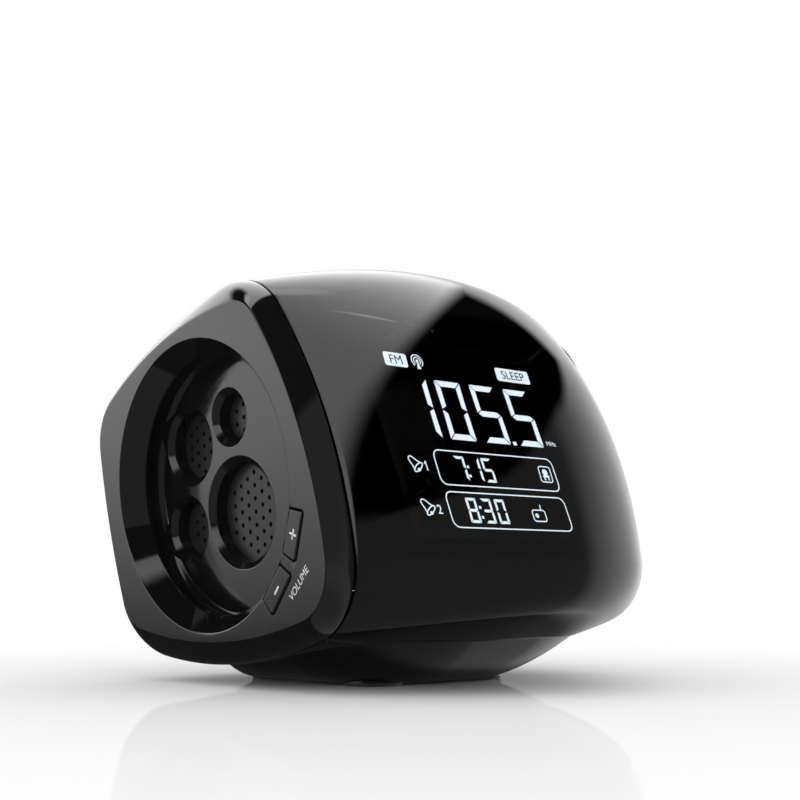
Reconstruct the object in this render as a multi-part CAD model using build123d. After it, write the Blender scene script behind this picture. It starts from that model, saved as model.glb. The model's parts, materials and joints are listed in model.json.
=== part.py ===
"""Projection alarm clock with radio: a bulged case between two leaning end caps.

Millimetres, +X right, +Y to the rear, +Z up. The origin is on the table, under the middle of
the overall width and depth. The left cap holds the speaker and the volume keys, the right cap
holds the projector drum, the keys are on the slope behind the ridge.
"""
import math
import os
from collections import namedtuple

from build123d import *

# ---------------------------------------------------------------- driving dimensions
HALF_WIDTH = 65.0        # mid-plane to the face of an end cap, at the height of the speaker axis
AXIS_Y = 18.0            # speaker and drum axis, behind the origin
AXIS_Z = 56.7            # speaker and drum axis, above the table
FACE_LEAN = 4.9          # degrees; the end faces look slightly down
SEAM_DEPTH = 9.9         # depth of an end cap, from its face to the seam
WALL = 2.4               # moulded wall
FIT = 0.15               # gap all round a piece that is pressed or screwed into another
RUN = 0.3                # gap all round a piece that moves

# Outlines in the plane of a section, x to the rear and y up from the speaker axis. The corners
# run top, front, rear, upper rear; each side bulges by its own height, each corner is rounded.
Outline = namedtuple("Outline", "corners bulges radii")
FACE = Outline([(-26.6, 50.4), (-55.8, -34.1), (40.7, -40.3), (53.0, 22.4)],
               [7.6, 7.3, 2.4, 6.8], [10.7, 15.1, 11.3, 16.2])
SEAM = Outline([(-19.6, 60.4), (-55.6, -37.8), (47.1, -47.9), (57.5, 27.3)],
               [10.6, 8.6, 1.0, 3.9], [21.7, 22.0, 21.9, 20.1])
MIDDLE = Outline([(-23.4, 70.5), (-95.6, -31.8), (49.1, -51.4), (59.5, 33.4)],
                 [17.8, 9.0, 1.2, 4.2], [46.7, 13.3, 21.9, 20.1])
FRONT_SWELL = 2.3        # how full the front stays towards the ends
TOP_SWELL = 2.0          # how full the top stays towards the ends
FLANK_SWELL = 2.2        # how round the flank of an end cap is
STATIONS = (-1.0, -0.7, -0.35, 0.0, 0.35, 0.7, 1.0)
FLANK_STATIONS = (0.0, 0.4, 1.0)
CASE_REACH = 120.0       # half the size of a cutting block, past the whole case
ROOT = 0.5               # how far a boss reaches into the wall it stands on

# Parting lines between the four wrap-round shells
FRONT_PART_Y, FRONT_PART_Z, FRONT_PART_RISE = -25.3, 13.9, 0.35
BASE_PART_Z = 26.3       # top edge of the base at the rear
RIDGE_PART_Y = 24.0      # where the front shell ends behind the ridge
REAR_PART_Z = 66.0       # lower edge of the key panel at the rear

# Recess in each end face
RIM_R, RING_R, RING_DEPTH, RING_LIP = 42.0, 37.6, 6.6, 1.2
BOWL_R, BOWL_DEPTH, BOWL_WALL, BOWL_FLOOR = 40.2, 14.7, 1.8, 2.0
COLLAR_WALL, COLLAR_DEPTH = 1.5, 12.0

# Speaker ports: place from the axis and radius over the bevel
PORTS = {"large": (0.0, -8.5, 16.6), "upper": (24.7, 12.5, 12.2),
         "small": (3.5, 19.7, 8.8), "lower": (27.2, -12.6, 10.2)}
PORT_BEVEL, PORT_BEVEL_DEEP, PORT_WALL, PORT_LENGTH = 2.0, 1.6, 1.3, 5.5
GRILLE_THICK, GRILLE_HOLE_R, GRILLE_PITCH, GRILLE_BORDER = 1.0, 0.72, 3.9, 0.8

# Speaker behind the bowl
SPEAKER_R, CONE_R, ROLL_R, MAGNET_R = 39.0, 25.0, 2.5, 22.0
SPEAKER_GAP = 1.6        # between the back of the grilles and the front of the surround
BASKET_THICK, BASKET_DEPTH, BASKET_SEAT_R, COIL_R = 1.4, 14.0, 17.0, 6.5
MAGNET_THICK, PLATE_THICK, PLATE_INSET, COIL_HEIGHT = 8.0, 3.0, 2.0, 5.0
COIL_WALL, COIL_GAP_IN, COIL_GAP_OUT, MAGNET_BORE_GAP = 0.6, 0.7, 0.7, 3.0
CONE_THICK, CONE_LIP, DUST_CAP_DIP, ROLL_THICK = 0.5, 0.8, 1.3, 0.5
BASKET_WINDOWS, BASKET_WINDOW_R = 6, 24.0
BASKET_WINDOW = (11.0, 14.0, 7.5)
POST_R, POST_INSET, POST_ANGLES = 2.0, 1.5, (70, 150, 218, 286)

# Volume keys, in a ring outside the rim
VOLUME_LAND, VOLUME_DEEP, VOLUME_SWEEP = 0.8, 5.7, 17.0
VOLUME_ANGLES = {"volume_up_button": -160.9, "volume_down_button": -139.6}
VOLUME_PROUD, VOLUME_TRAVEL, VOLUME_HEIGHT = 0.4, 0.8, 4.4
VOLUME_CORNER = 1.1
VOLUME_BOARD_W, VOLUME_BOARD_SWEEP, VOLUME_SWITCH_IN = 6.2, 44.0, 2.3
VOLUME_SWITCH_W, VOLUME_SWITCH_L, VOLUME_SWITCH_H = 3.4, 5.0, 2.0

# Display behind the front
LCD_W, LCD_H, LCD_THICK, LCD_LEAN = 80.0, 60.0, 2.6, 25.0
LCD_Y, LCD_Z = -35.0, 69.7
FRAME_BORDER, FRAME_DEPTH, FRAME_LIP, FRAME_COVER = 2.0, 10.0, 0.8, 0.8
LAMP_PLATE, LEG_R, LEG_INSET = 3.0, 2.0, 12.0

# Keys on the slope
SNOOZE_W, SNOOZE_H, SNOOZE_V, SNOOZE_TRAVEL = 70.0, 13.0, -6.0, 1.0
KEY_W, KEY_H, KEY_V, KEY_PITCH, KEY_TRAVEL = 12.0, 8.0, 10.0, 15.0, 0.7
KEY_PROUD, KEY_UNDER, KEY_CORNER = 0.8, 1.2, 1.8
KEY_NAMES = ("power_key", "source_key", "tune_down_key", "tune_up_key", "alarm_1_key",
             "alarm_2_key")
STEM_R, STEM_FOOT, STEM_SPREAD, STEM_GAP, BOARD_THICK = 1.6, 13.0, 49.0, 0.1, 1.6
SWITCH_W, SWITCH_H = 6.0, 3.4
KEY_BOARD_BORDER_X, KEY_BOARD_BORDER_Y, KEY_POST_R, KEY_POST_INSET = 4.0, 3.0, 2.0, 2.0

# Projector drum in the right recess
DRUM_R, DRUM_IN, DRUM_PROUD, DRUM_WALL, COVER_THICK = 36.0, 8.0, 14.0, 2.2, 2.2
COVER_EDGE = 0.8
AXLE_R, AXLE_GAP, BEARING_WALL, BEARING_PROUD, BEARING_DEEP = 5.0, 0.05, 2.5, 2.0, 3.5
CLIP_THICK, CLIP_BORDER, CLIP_GROOVE, CLIP_MOUTH, AXLE_END = 1.2, 3.0, 1.0, 6.5, 1.0
LENS_ANGLE, LENS_W = 100.0, 5.9
BARREL_R, BARREL_WALL, BARREL_IN, BARREL_OUT = 4.4, 0.9, 19.0, 39.0
FOCUS_WALL, FOCUS_GAP, FOCUS_IN, FOCUS_OUT = 1.0, 0.05, 36.6, 39.6
FOCUS_RIBS, FOCUS_RIB_R, FOCUS_RIB_END = 24, 0.22, 0.5
CELL_WALL, CELL_GAP, CELL_LENGTH, CELL_LEDGE, CELL_SET_BACK = 0.6, 0.06, 8.0, 0.5, 1.6
LENS_THICK, LENS_EDGE, LENS_SET_BACK = 2.2, 1.0, 2.4
DRUM_GROOVES, GROOVE_R, GROOVE_SINK, GROOVE_START, GROOVE_END = 48, 0.8, 0.28, 1.5, 1.5
LIGHT_IN, LIGHT_WALL, LIGHT_FOOT_W, LIGHT_FOOT_L = 9.0, 0.6, 7.0, 8.0
MASK_FROM_END, MASK_THICK, CONDENSER_FROM_END, CONDENSER_THICK = 1.6, 1.0, 5.2, 2.0
LED_W, LED_H, LED_BOARD_L = 3.0, 1.6, 14.0

# Feet and base
FOOT_R, FOOT_H, FOOT_SINK, FOOT_EDGE = 8.6, 1.6, 0.8, 0.4
FOOT_X, FOOT_Y_FRONT, FOOT_Y_REAR = 20.5, -7.0, 36.5
PLINTH_BORDER, PLINTH_CORNER, PLINTH_TOP = 10.2, 10.1, 9.0

# Boards and posts
BOARD_W, BOARD_D, BOARD_Y, BOARD_Z, BOARD_POST_R, BOARD_POST_INSET = 74.0, 62.0, 16.0, 12.4, 3.0, 5.0
TUNER_X, TUNER_Y, TUNER_W, TUNER_D, TUNER_H = 12.0, -14.0, 26.0, 20.0, 6.0
CHIPS = ((-16, -12, 14, 14, 2.0), (-20, 10, 8, 10, 2.4))        # x, y, width, depth, height
CAPACITORS = ((4, 8, 4.0, 9.0), (15, 10, 4.0, 9.0), (26, 8, 3.0, 7.0))   # x, y, radius, height

# Rear fittings
TRAY_X, TRAY_Z, TRAY_W, TRAY_H, TRAY_IN = -14.0, 40.0, 24.0, 4.6, 44.0
CELL_R, CELL_H, CELL_EDGE, HOLDER_WALL = 10.0, 3.2, 1.5, 1.8
GRIP_W, GRIP_DEEP, GRIP_H = 10.0, 1.5, 1.2
JACK_X, JACK_Z, JACK_NOSE_R, JACK_BORE_R, JACK_PIN_R = 26.0, 38.0, 4.4, 2.8, 1.0
JACK_BODY, JACK_DEPTH, JACK_FLOOR = 12.0, 14.0, 3.0
AUX_X, AUX_NOSE_R, AUX_BORE_R, AUX_BODY = 8.0, 3.2, 1.8, 9.0
LUG_X, LUG_W, LUG_Y, LUG_LOW_Z, LUG_HIGH_Z, LUG_OVERLAP = 40.0, 8.0, 60.0, 33.0, 59.0, 6.0
SCREW_R, SCREW_HEAD_R, SCREW_HEAD_H, SCREW_LENGTH = 1.3, 2.9, 1.7, 9.0
SCREW_SLOT_W, SCREW_SLOT_DEEP = 0.8, 0.8

# ---------------------------------------------------------------- values worked out
LEAN = math.radians(FACE_LEAN)
DRUM_OVERHANG = DRUM_PROUD * math.cos(LEAN) - (FACE.corners[0][1] - BARREL_OUT) * math.sin(LEAN)
MID_X = -DRUM_OVERHANG / 2          # the drum stands out on one side only
SEAM_HALF = HALF_WIDTH - SEAM_DEPTH * math.cos(LEAN)
BASE_Z = FOOT_H                     # underside of the base
BOWL_BACK = BOWL_DEPTH + BOWL_FLOOR
GRILLE_DEPTH = BOWL_DEPTH + PORT_LENGTH
CONE_DEPTH = GRILLE_DEPTH + GRILLE_THICK + SPEAKER_GAP + ROLL_R
SPEAKER_DEPTH = CONE_DEPTH - 1.0    # front of the speaker's flange
CLIP_DEPTH = BOWL_BACK + BEARING_PROUD + RUN
COLLAR_R = BOWL_R + BOWL_WALL + FIT + COLLAR_WALL
VOLUME_IN = RIM_R + VOLUME_LAND
VOLUME_OUT = VOLUME_IN + VOLUME_DEEP
CENTRED = (Align.CENTER, Align.CENTER, Align.MIN)

parts = {}


# ---------------------------------------------------------------- outlines and frames
def side_circle(start, end, bulge):
    """Centre and radius of the arc from start to end that bulges outwards by bulge."""
    chord = Vector(*end) - Vector(*start)
    outward = Vector(chord.Y, -chord.X) / chord.length
    radius = (chord.length ** 2 / 4 + bulge ** 2) / (2 * bulge)
    return (Vector(*start) + Vector(*end)) / 2 - outward * (radius - bulge), radius


def corner_centre(corner, first, second, radius):
    """Centre of the rounding that lies inside two side circles, next to their corner."""
    (c1, r1), (c2, r2) = first, second
    gap = c2 - c1
    along = (gap.length ** 2 + (r1 - radius) ** 2 - (r2 - radius) ** 2) / (2 * gap.length)
    aside = math.sqrt(max((r1 - radius) ** 2 - along ** 2, 0.0))
    foot = c1 + gap.normalized() * along
    side = Vector(-gap.Y, gap.X).normalized() * aside
    return min(foot + side, foot - side, key=lambda point: (point - Vector(*corner)).length)


def bulged_quad(outline, grow=0.0):
    """Closed face of four bulging sides and four rounded corners, offset outwards by grow."""
    corners, bulges, radii = outline
    sides = [side_circle(corners[i], corners[(i + 1) % 4], bulges[i]) for i in range(4)]
    rounds = [corner_centre(corners[i], sides[i - 1], sides[i], radii[i]) for i in range(4)]

    def touch(side, centre):
        return side[0] + (centre - side[0]).normalized() * (side[1] + grow)

    edges = []
    for i in range(4):
        start, end = touch(sides[i - 1], rounds[i]), touch(sides[i], rounds[i])
        outward = ((start + end) / 2 - rounds[i]).normalized()
        edges.append(ThreePointArc(start, rounds[i] + outward * (radii[i] + grow), end))
        follow = touch(sides[i], rounds[(i + 1) % 4])
        outward = ((end + follow) / 2 - sides[i][0]).normalized()
        edges.append(ThreePointArc(end, sides[i][0] + outward * (sides[i][1] + grow), follow))
    return make_face(Wire(edges))


def blend(a, b, front, top):
    """Outline between a and b; front and top say how far lengths along Y and Z have gone."""
    corners = [(p[0] + (q[0] - p[0]) * front, p[1] + (q[1] - p[1]) * top)
               for p, q in zip(a.corners, b.corners)]
    bulges = [p + (q - p) * front for p, q in zip(a.bulges, b.bulges)]
    radii = [p + (q - p) * front for p, q in zip(a.radii, b.radii)]
    return Outline(corners, bulges, radii)


def body_frame(u):
    """Frame of the section at u, from -1 at the left seam to +1 at the right one."""
    x = MID_X + u * SEAM_HALF
    z = AXIS_Z + SEAM_DEPTH * math.sin(LEAN) * u * u
    return Plane(origin=(x, AXIS_Y, z), x_dir=(0, 1, 0),
                 z_dir=(math.cos(u * LEAN), 0, -math.sin(u * LEAN)))


def body_solid(grow=0.0):
    """The bulged body between the seams, grown or shrunk."""
    return loft([body_frame(u) * bulged_quad(
        blend(SEAM, MIDDLE, 1 - abs(u) ** FRONT_SWELL, 1 - abs(u) ** TOP_SWELL), grow)
        for u in STATIONS])


def cap_frame(side, depth=0.0):
    """Frame on an end face: x to the rear, y up the face, z along +X; depth goes inwards."""
    normal = Vector(math.cos(LEAN), 0, -side * math.sin(LEAN))
    origin = Vector(MID_X + side * HALF_WIDTH, AXIS_Y, AXIS_Z) - normal * side * depth
    return Plane(origin=origin, x_dir=(0, 1, 0), z_dir=normal)


def flank_section(depth, grow=0.0):
    """Outline of an end cap at a depth below its face."""
    done = 1 - (1 - depth / SEAM_DEPTH) ** FLANK_SWELL
    return bulged_quad(blend(FACE, SEAM, done, done), grow)


def turned(points):
    """Solid turned about local Z from (radius, depth) points."""
    return revolve(make_face(Plane.XZ * Polyline(*points, close=True)), Axis.Z)


def disc(radius, low, high, hole=0.0):
    """Plain disc or ring about local Z between two depths."""
    solid = Pos(0, 0, low) * Cylinder(radius, high - low, align=CENTRED)
    if hole:
        solid -= Pos(0, 0, low - 1) * Cylinder(hole, high - low + 2, align=CENTRED)
    return solid


def slab(points):
    """Block right across the case whose outline in the YZ plane is points."""
    return extrude(make_face(Plane.YZ * Polyline(*points, close=True)), CASE_REACH, both=True)


def mirrored(solid):
    return mirror(solid, about=Plane.YZ.offset(MID_X))


# ---------------------------------------------------------------- case
OUTER = body_solid() & Pos(0, 0, BASE_Z) * Box(
    2 * CASE_REACH, 2 * CASE_REACH, 2 * CASE_REACH, align=CENTRED)
INNER = body_solid(-WALL) & Pos(0, 0, BASE_Z + WALL) * Box(
    2 * CASE_REACH, 2 * CASE_REACH, 2 * CASE_REACH, align=CENTRED)
SKIN = OUTER - INNER
MEET_Y, MEET_Z = 10.0, BASE_PART_Z
FRONT_EDGE_Z = FRONT_PART_Z + (-CASE_REACH - FRONT_PART_Y) * FRONT_PART_RISE
FRONT_MEET_Y = FRONT_PART_Y + (MEET_Z - FRONT_PART_Z) / FRONT_PART_RISE
RIDGE_Z = REAR_PART_Z - 4

FRONT_SLAB = [(-CASE_REACH, FRONT_EDGE_Z), (FRONT_MEET_Y, MEET_Z), (RIDGE_PART_Y, RIDGE_Z),
              (RIDGE_PART_Y, 2 * CASE_REACH), (-CASE_REACH, 2 * CASE_REACH)]
PANEL_SLAB = [(RIDGE_PART_Y, RIDGE_Z), (CASE_REACH, REAR_PART_Z + 4),
              (CASE_REACH, 2 * CASE_REACH), (RIDGE_PART_Y, 2 * CASE_REACH)]
REAR_SLAB = [(FRONT_MEET_Y, MEET_Z), (CASE_REACH, MEET_Z), (CASE_REACH, REAR_PART_Z + 4),
             (RIDGE_PART_Y, RIDGE_Z)]
BASE_SLAB = [(-CASE_REACH, FRONT_EDGE_Z), (-CASE_REACH, -CASE_REACH),
             (CASE_REACH, -CASE_REACH), (CASE_REACH, MEET_Z), (FRONT_MEET_Y, MEET_Z)]


def lug(x, low, high):
    """Screw lug that lies against the inside of the rear cover."""
    block = Pos(x, LUG_Y, low) * Box(LUG_W, CASE_REACH, high - low,
                                     align=(Align.CENTER, Align.MIN, Align.MIN))
    return block & INNER


def screw_places():
    return [(MID_X + sx * LUG_X, z) for sx in (-1, 1) for z in (LUG_LOW_Z, LUG_HIGH_Z)]


def rear_wall_y(x, z):
    """Where the outside of the rear cover is, on a line along Y."""
    probe = OUTER & Pos(x, 0, z) * Box(0.2, 4 * CASE_REACH, 0.2)
    return probe.bounding_box().max.Y


def screw(x, z, clear=0.0):
    """Pan-head case screw along Y, its head let into the rear cover."""
    seat = rear_wall_y(x, z) - SCREW_HEAD_H
    axis = Plane(origin=(x, seat, z), x_dir=(1, 0, 0), z_dir=(0, 1, 0))
    head = Cylinder(SCREW_HEAD_R + clear, SCREW_HEAD_H + 2 * clear, align=CENTRED)
    shank = Pos(0, 0, -SCREW_LENGTH) * Cylinder(SCREW_R, SCREW_LENGTH, align=CENTRED)
    slot = Box(SCREW_HEAD_R, SCREW_SLOT_W, 2 * SCREW_SLOT_DEEP)
    slot = Pos(0, 0, SCREW_HEAD_H) * (slot + Rot(0, 0, 90) * slot)
    return axis * (head + shank - slot) if not clear else axis * (head + shank)


def foot_places():
    return [(MID_X + sx * FOOT_X, y) for sx in (-1, 1) for y in (FOOT_Y_FRONT, FOOT_Y_REAR)]


def make_base():
    depth = FOOT_Y_REAR - FOOT_Y_FRONT + 2 * PLINTH_BORDER
    plinth = Pos(MID_X, (FOOT_Y_REAR + FOOT_Y_FRONT) / 2, BASE_Z) * extrude(
        RectangleRounded(2 * (FOOT_X + PLINTH_BORDER), depth, PLINTH_CORNER), PLINTH_TOP)
    base = (SKIN & slab(BASE_SLAB)) + (plinth - INNER)
    for x, y in board_posts():
        base += (Pos(x, y, BASE_Z + ROOT) * Cylinder(
            BOARD_POST_R, BOARD_Z - BASE_Z - ROOT, align=CENTRED)) & OUTER
    for sx in (-1, 1):
        base += lug(MID_X + sx * LUG_X, BASE_Z + WALL, LUG_LOW_Z + LUG_OVERLAP)
    for x, y in foot_places():
        base -= Pos(x, y, BASE_Z - 1) * Cylinder(FOOT_R + FIT, 1 + FOOT_SINK, align=CENTRED)
    return base


def make_feet():
    names = ("foot_left_front", "foot_left_rear", "foot_right_front", "foot_right_rear")
    for name, (x, y) in zip(names, foot_places()):
        foot = Cylinder(FOOT_R, FOOT_H + FOOT_SINK, align=CENTRED)
        foot = chamfer(foot.edges().group_by(Axis.Z)[0], FOOT_EDGE)
        parts[name] = Pos(x, y, 0) * foot


def recess_void(depth):
    """Tapered mouth, lip and undercut of an end recess, down to a depth."""
    lip = RING_DEPTH + RING_LIP
    under = BOWL_R + BOWL_WALL + FIT
    steep = (RIM_R - RING_R) / RING_DEPTH
    return turned([(0, -1), (RIM_R + steep, -1), (RING_R, RING_DEPTH), (RING_R, lip),
                   (under, lip), (under, depth), (0, depth)])


def cap_room(gap=0.0):
    """Room inside an end cap, less a gap along its wall."""
    return loft([Pos(0, 0, d) * flank_section(d, -WALL - gap)
                 for d in (WALL, 0.6 * SEAM_DEPTH, SEAM_DEPTH)])


def make_left_cap():
    """Left cap in its own frame, depth along +Z, without the volume key holes."""
    outer = loft([Pos(0, 0, share * SEAM_DEPTH) * flank_section(share * SEAM_DEPTH)
                  for share in FLANK_STATIONS])
    cap = outer - cap_room() + disc(COLLAR_R, WALL / 2, COLLAR_DEPTH)
    return cap - recess_void(COLLAR_DEPTH + 1)


# ---------------------------------------------------------------- volume keys
def ring_sector(angle, inner, outer, sweep, corner):
    """Sector of a ring with rounded outer corners, centred on an angle in degrees."""
    half = math.radians(sweep / 2)
    mid = math.radians(angle)
    arc_in = [Vector(inner * math.cos(mid + k * half), inner * math.sin(mid + k * half))
              for k in (-1, 0, 1)]
    arc_out = [Vector(outer * math.cos(mid + k * half), outer * math.sin(mid + k * half))
               for k in (1, 0, -1)]
    edges = [ThreePointArc(*arc_in), Line(arc_in[2], arc_out[0]), ThreePointArc(*arc_out),
             Line(arc_out[2], arc_in[0])]
    face = make_face(Wire(edges))
    outer_corners = face.vertices().filter_by(
        lambda v: math.hypot(v.X, v.Y) > (inner + outer) / 2)
    return fillet(outer_corners, corner)


def volume_sector(angle, gap=0.0):
    spread = math.degrees(2 * gap / VOLUME_OUT)
    return ring_sector(angle, VOLUME_IN - gap, VOLUME_OUT + gap, VOLUME_SWEEP + spread,
                       VOLUME_CORNER)


def make_volume_keys(frame):
    """Two sprung keys, their switches and the small board that carries them."""
    switch_depth = VOLUME_HEIGHT + VOLUME_TRAVEL + FIT
    board_depth = switch_depth + VOLUME_SWITCH_H
    sweep_mid = sum(VOLUME_ANGLES.values()) / 2
    board_r = COLLAR_R + FIT
    board = ring_sector(sweep_mid, board_r, board_r + VOLUME_BOARD_W, VOLUME_BOARD_SWEEP,
                        VOLUME_CORNER)
    board = Pos(0, 0, board_depth) * extrude(board, BOARD_THICK)
    parts["volume_board"] = frame * (board & cap_room(RUN))
    switches = []
    for name, angle in VOLUME_ANGLES.items():
        sector = extrude(volume_sector(angle), VOLUME_HEIGHT + VOLUME_PROUD)
        parts[name] = frame * Pos(0, 0, -VOLUME_PROUD) * sector
        place = Rot(0, 0, angle) * Pos(board_r + VOLUME_SWITCH_IN, 0, switch_depth)
        switches.append(frame * place * Box(
            VOLUME_SWITCH_W, VOLUME_SWITCH_L, VOLUME_SWITCH_H, align=CENTRED))
    parts["volume_switches"] = Compound(children=switches)


# ---------------------------------------------------------------- speaker side
def make_bowl(floor_hole=0.0):
    """Cup that hangs behind the lip of the recess."""
    lip = RING_DEPTH + RING_LIP
    bowl = disc(BOWL_R + BOWL_WALL, lip, BOWL_BACK)
    bowl -= disc(BOWL_R, lip - 1, BOWL_DEPTH)
    if floor_hole:
        bowl -= disc(floor_hole, BOWL_DEPTH - 1, BOWL_BACK + 1)
    return bowl


def speaker_posts():
    radius = BOWL_R - POST_R - POST_INSET
    return [(radius * math.cos(math.radians(a)), radius * math.sin(math.radians(a)))
            for a in POST_ANGLES]


def grille_places(radius):
    """Staggered hole centres that fit inside a radius."""
    row_gap = GRILLE_PITCH * math.sqrt(3) / 2
    count = int(radius / row_gap) + 1
    places = []
    for row in range(-count, count + 1):
        shift = GRILLE_PITCH / 2 if row % 2 else 0.0
        for col in range(-count - 1, count + 2):
            x, y = row * row_gap, col * GRILLE_PITCH + shift
            if math.hypot(x, y) < radius - GRILLE_HOLE_R - GRILLE_BORDER:
                places.append((x, y))
    return places


def make_speaker_side(frame):
    dish = make_bowl()
    for x, y, radius in PORTS.values():
        tube_r = radius - PORT_BEVEL + PORT_WALL
        dish += Pos(x, y) * disc(tube_r, BOWL_DEPTH + ROOT, GRILLE_DEPTH)
    for x, y, radius in PORTS.values():
        bore = radius - PORT_BEVEL
        dish -= Pos(x, y) * turned([(0, BOWL_DEPTH - 1), (radius + 1, BOWL_DEPTH - 1),
                                    (bore, BOWL_DEPTH + PORT_BEVEL_DEEP),
                                    (bore, GRILLE_DEPTH + 1), (0, GRILLE_DEPTH + 1)])
    for x, y in speaker_posts():
        dish += Pos(x, y) * disc(POST_R, BOWL_BACK - ROOT, SPEAKER_DEPTH)
    parts["speaker_dish"] = frame * dish
    for name, (x, y, radius) in PORTS.items():
        bore = radius - PORT_BEVEL
        grille = disc(bore + PORT_WALL, GRILLE_DEPTH, GRILLE_DEPTH + GRILLE_THICK)
        holes = [Pos(hx, hy, GRILLE_DEPTH - 1) * Cylinder(
            GRILLE_HOLE_R, GRILLE_THICK + 2, align=CENTRED) for hx, hy in grille_places(bore)]
        parts[f"port_grille_{name}"] = frame * Pos(x, y) * (grille - holes)
    make_driver(frame)


def make_driver(frame):
    """Loudspeaker driver: basket, magnet system, coil, surround and cone with its dust cap."""
    top, seat, thick = SPEAKER_DEPTH, SPEAKER_DEPTH + BASKET_DEPTH, BASKET_THICK
    edge = CONE_R + 2 * ROLL_R
    bore = COIL_R + MAGNET_BORE_GAP
    slope_top = top + 1.2 * thick
    basket = turned([(edge, top), (SPEAKER_R, top), (SPEAKER_R, top + thick),
                     (edge + thick, top + thick), (BASKET_SEAT_R + thick, seat - thick),
                     (BASKET_SEAT_R + thick, seat), (bore, seat), (bore, seat - thick),
                     (BASKET_SEAT_R, seat - thick), (edge, slope_top)])
    middle = (slope_top + seat) / 2
    for i in range(BASKET_WINDOWS):
        angle = (i + 0.5) * 360 / BASKET_WINDOWS
        basket -= Rot(0, 0, angle) * Pos(BASKET_WINDOW_R, 0, middle) * Box(*BASKET_WINDOW)
    parts["speaker_basket"] = frame * basket
    plate = seat + PLATE_THICK
    magnet = plate + MAGNET_THICK
    plate_r = MAGNET_R - PLATE_INSET
    coil_in, coil_out = COIL_R, COIL_R + COIL_WALL
    coil_top = seat - COIL_HEIGHT
    parts["speaker_top_plate"] = frame * disc(plate_r, seat, plate, coil_out + COIL_GAP_OUT)
    parts["speaker_magnet"] = frame * disc(MAGNET_R, plate, magnet, bore)
    yoke = disc(plate_r, magnet, magnet + PLATE_THICK)
    yoke += disc(coil_in - COIL_GAP_IN, seat, magnet + ROOT)
    parts["speaker_yoke"] = frame * yoke
    parts["voice_coil"] = frame * disc(coil_out, coil_top, plate, coil_in)
    cone = turned([(0, coil_top - DUST_CAP_DIP), (coil_in, coil_top), (coil_out, coil_top),
                   (CONE_R, CONE_DEPTH + CONE_THICK), (CONE_R, CONE_DEPTH),
                   (CONE_R - CONE_LIP, CONE_DEPTH), (coil_in, coil_top - 2 * CONE_THICK),
                   (0, coil_top - DUST_CAP_DIP - 2 * CONE_THICK)])
    parts["speaker_cone"] = frame * cone
    surround = Pos(CONE_R + ROLL_R, CONE_DEPTH) * (Circle(ROLL_R) - Circle(ROLL_R - ROLL_THICK))
    surround &= Pos(CONE_R + ROLL_R, CONE_DEPTH - ROLL_R) * Rectangle(4 * ROLL_R, 2 * ROLL_R)
    parts["speaker_surround"] = frame * revolve(Plane.XZ * surround, Axis.Z)


# ---------------------------------------------------------------- display
def make_display():
    lean = math.radians(LCD_LEAN)
    normal = Vector(0, -math.cos(lean), math.sin(lean))
    frame = Plane(origin=(MID_X, LCD_Y, LCD_Z), x_dir=(1, 0, 0), z_dir=normal)
    wide, high = LCD_W + 2 * FRAME_BORDER, LCD_H + 2 * FRAME_BORDER
    box = Pos(0, 0, -FRAME_DEPTH) * Box(wide, high, FRAME_DEPTH + FRAME_LIP, align=CENTRED)
    box -= Pos(0, 0, -1) * Box(LCD_W - 2 * FRAME_COVER, LCD_H - 2 * FRAME_COVER, 5,
                               align=CENTRED)
    box -= Pos(0, 0, -FRAME_DEPTH - 1) * Box(LCD_W + 2 * FIT, LCD_H + 2 * FIT,
                                             FRAME_DEPTH + 1, align=CENTRED)
    holder = frame * box
    for sx in (-1, 1):
        for sy in (-1, 1):
            leg = Pos(sx * (wide / 2 - LEG_R), sy * (high / 2 - LEG_INSET), -FRAME_DEPTH) * Cylinder(
                LEG_R, CASE_REACH, align=CENTRED)
            leg -= Pos(0, 0, -FRAME_DEPTH - 1) * Box(LCD_W + 2 * FIT, LCD_H + 2 * FIT,
                                                     FRAME_DEPTH + 1, align=CENTRED)
            holder += (frame * leg) & INNER
    parts["lcd_frame"] = holder
    parts["lcd_glass"] = frame * Pos(0, 0, -LCD_THICK) * Box(LCD_W, LCD_H, LCD_THICK,
                                                             align=CENTRED)
    parts["lcd_backlight"] = frame * Pos(0, 0, -LCD_THICK - LAMP_PLATE) * Box(
        LCD_W, LCD_H, LAMP_PLATE, align=CENTRED)
    board = Pos(0, 0, -FRAME_DEPTH - BOARD_THICK) * Box(wide, high, BOARD_THICK, align=CENTRED)
    parts["display_board"] = frame * board


# ---------------------------------------------------------------- key panel
def panel_frame():
    """Frame on the slope behind the ridge: x right, y down the slope, z out of it."""
    start, end = Vector(*MIDDLE.corners[0]), Vector(*MIDDLE.corners[3])
    slope = (end - start).normalized()
    middle = (start + end) / 2 + Vector(-slope.Y, slope.X) * MIDDLE.bulges[3]
    return Plane(origin=(MID_X, AXIS_Y + middle.X, AXIS_Z + middle.Y), x_dir=(1, 0, 0),
                 z_dir=(0, -slope.Y, slope.X))


def key_places():
    """Name, middle, size and travel of every key on the slope."""
    places = [("snooze_bar", 0.0, SNOOZE_V, SNOOZE_W, SNOOZE_H, SNOOZE_TRAVEL)]
    for i, name in enumerate(KEY_NAMES):
        x = (i - (len(KEY_NAMES) - 1) / 2) * KEY_PITCH
        places.append((name, x, KEY_V, KEY_W, KEY_H, KEY_TRAVEL))
    return places


def key_prism(width, height, corner):
    return Pos(0, 0, -KEY_PITCH) * extrude(RectangleRounded(width, height, corner),
                                           2 * KEY_PITCH)


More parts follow.
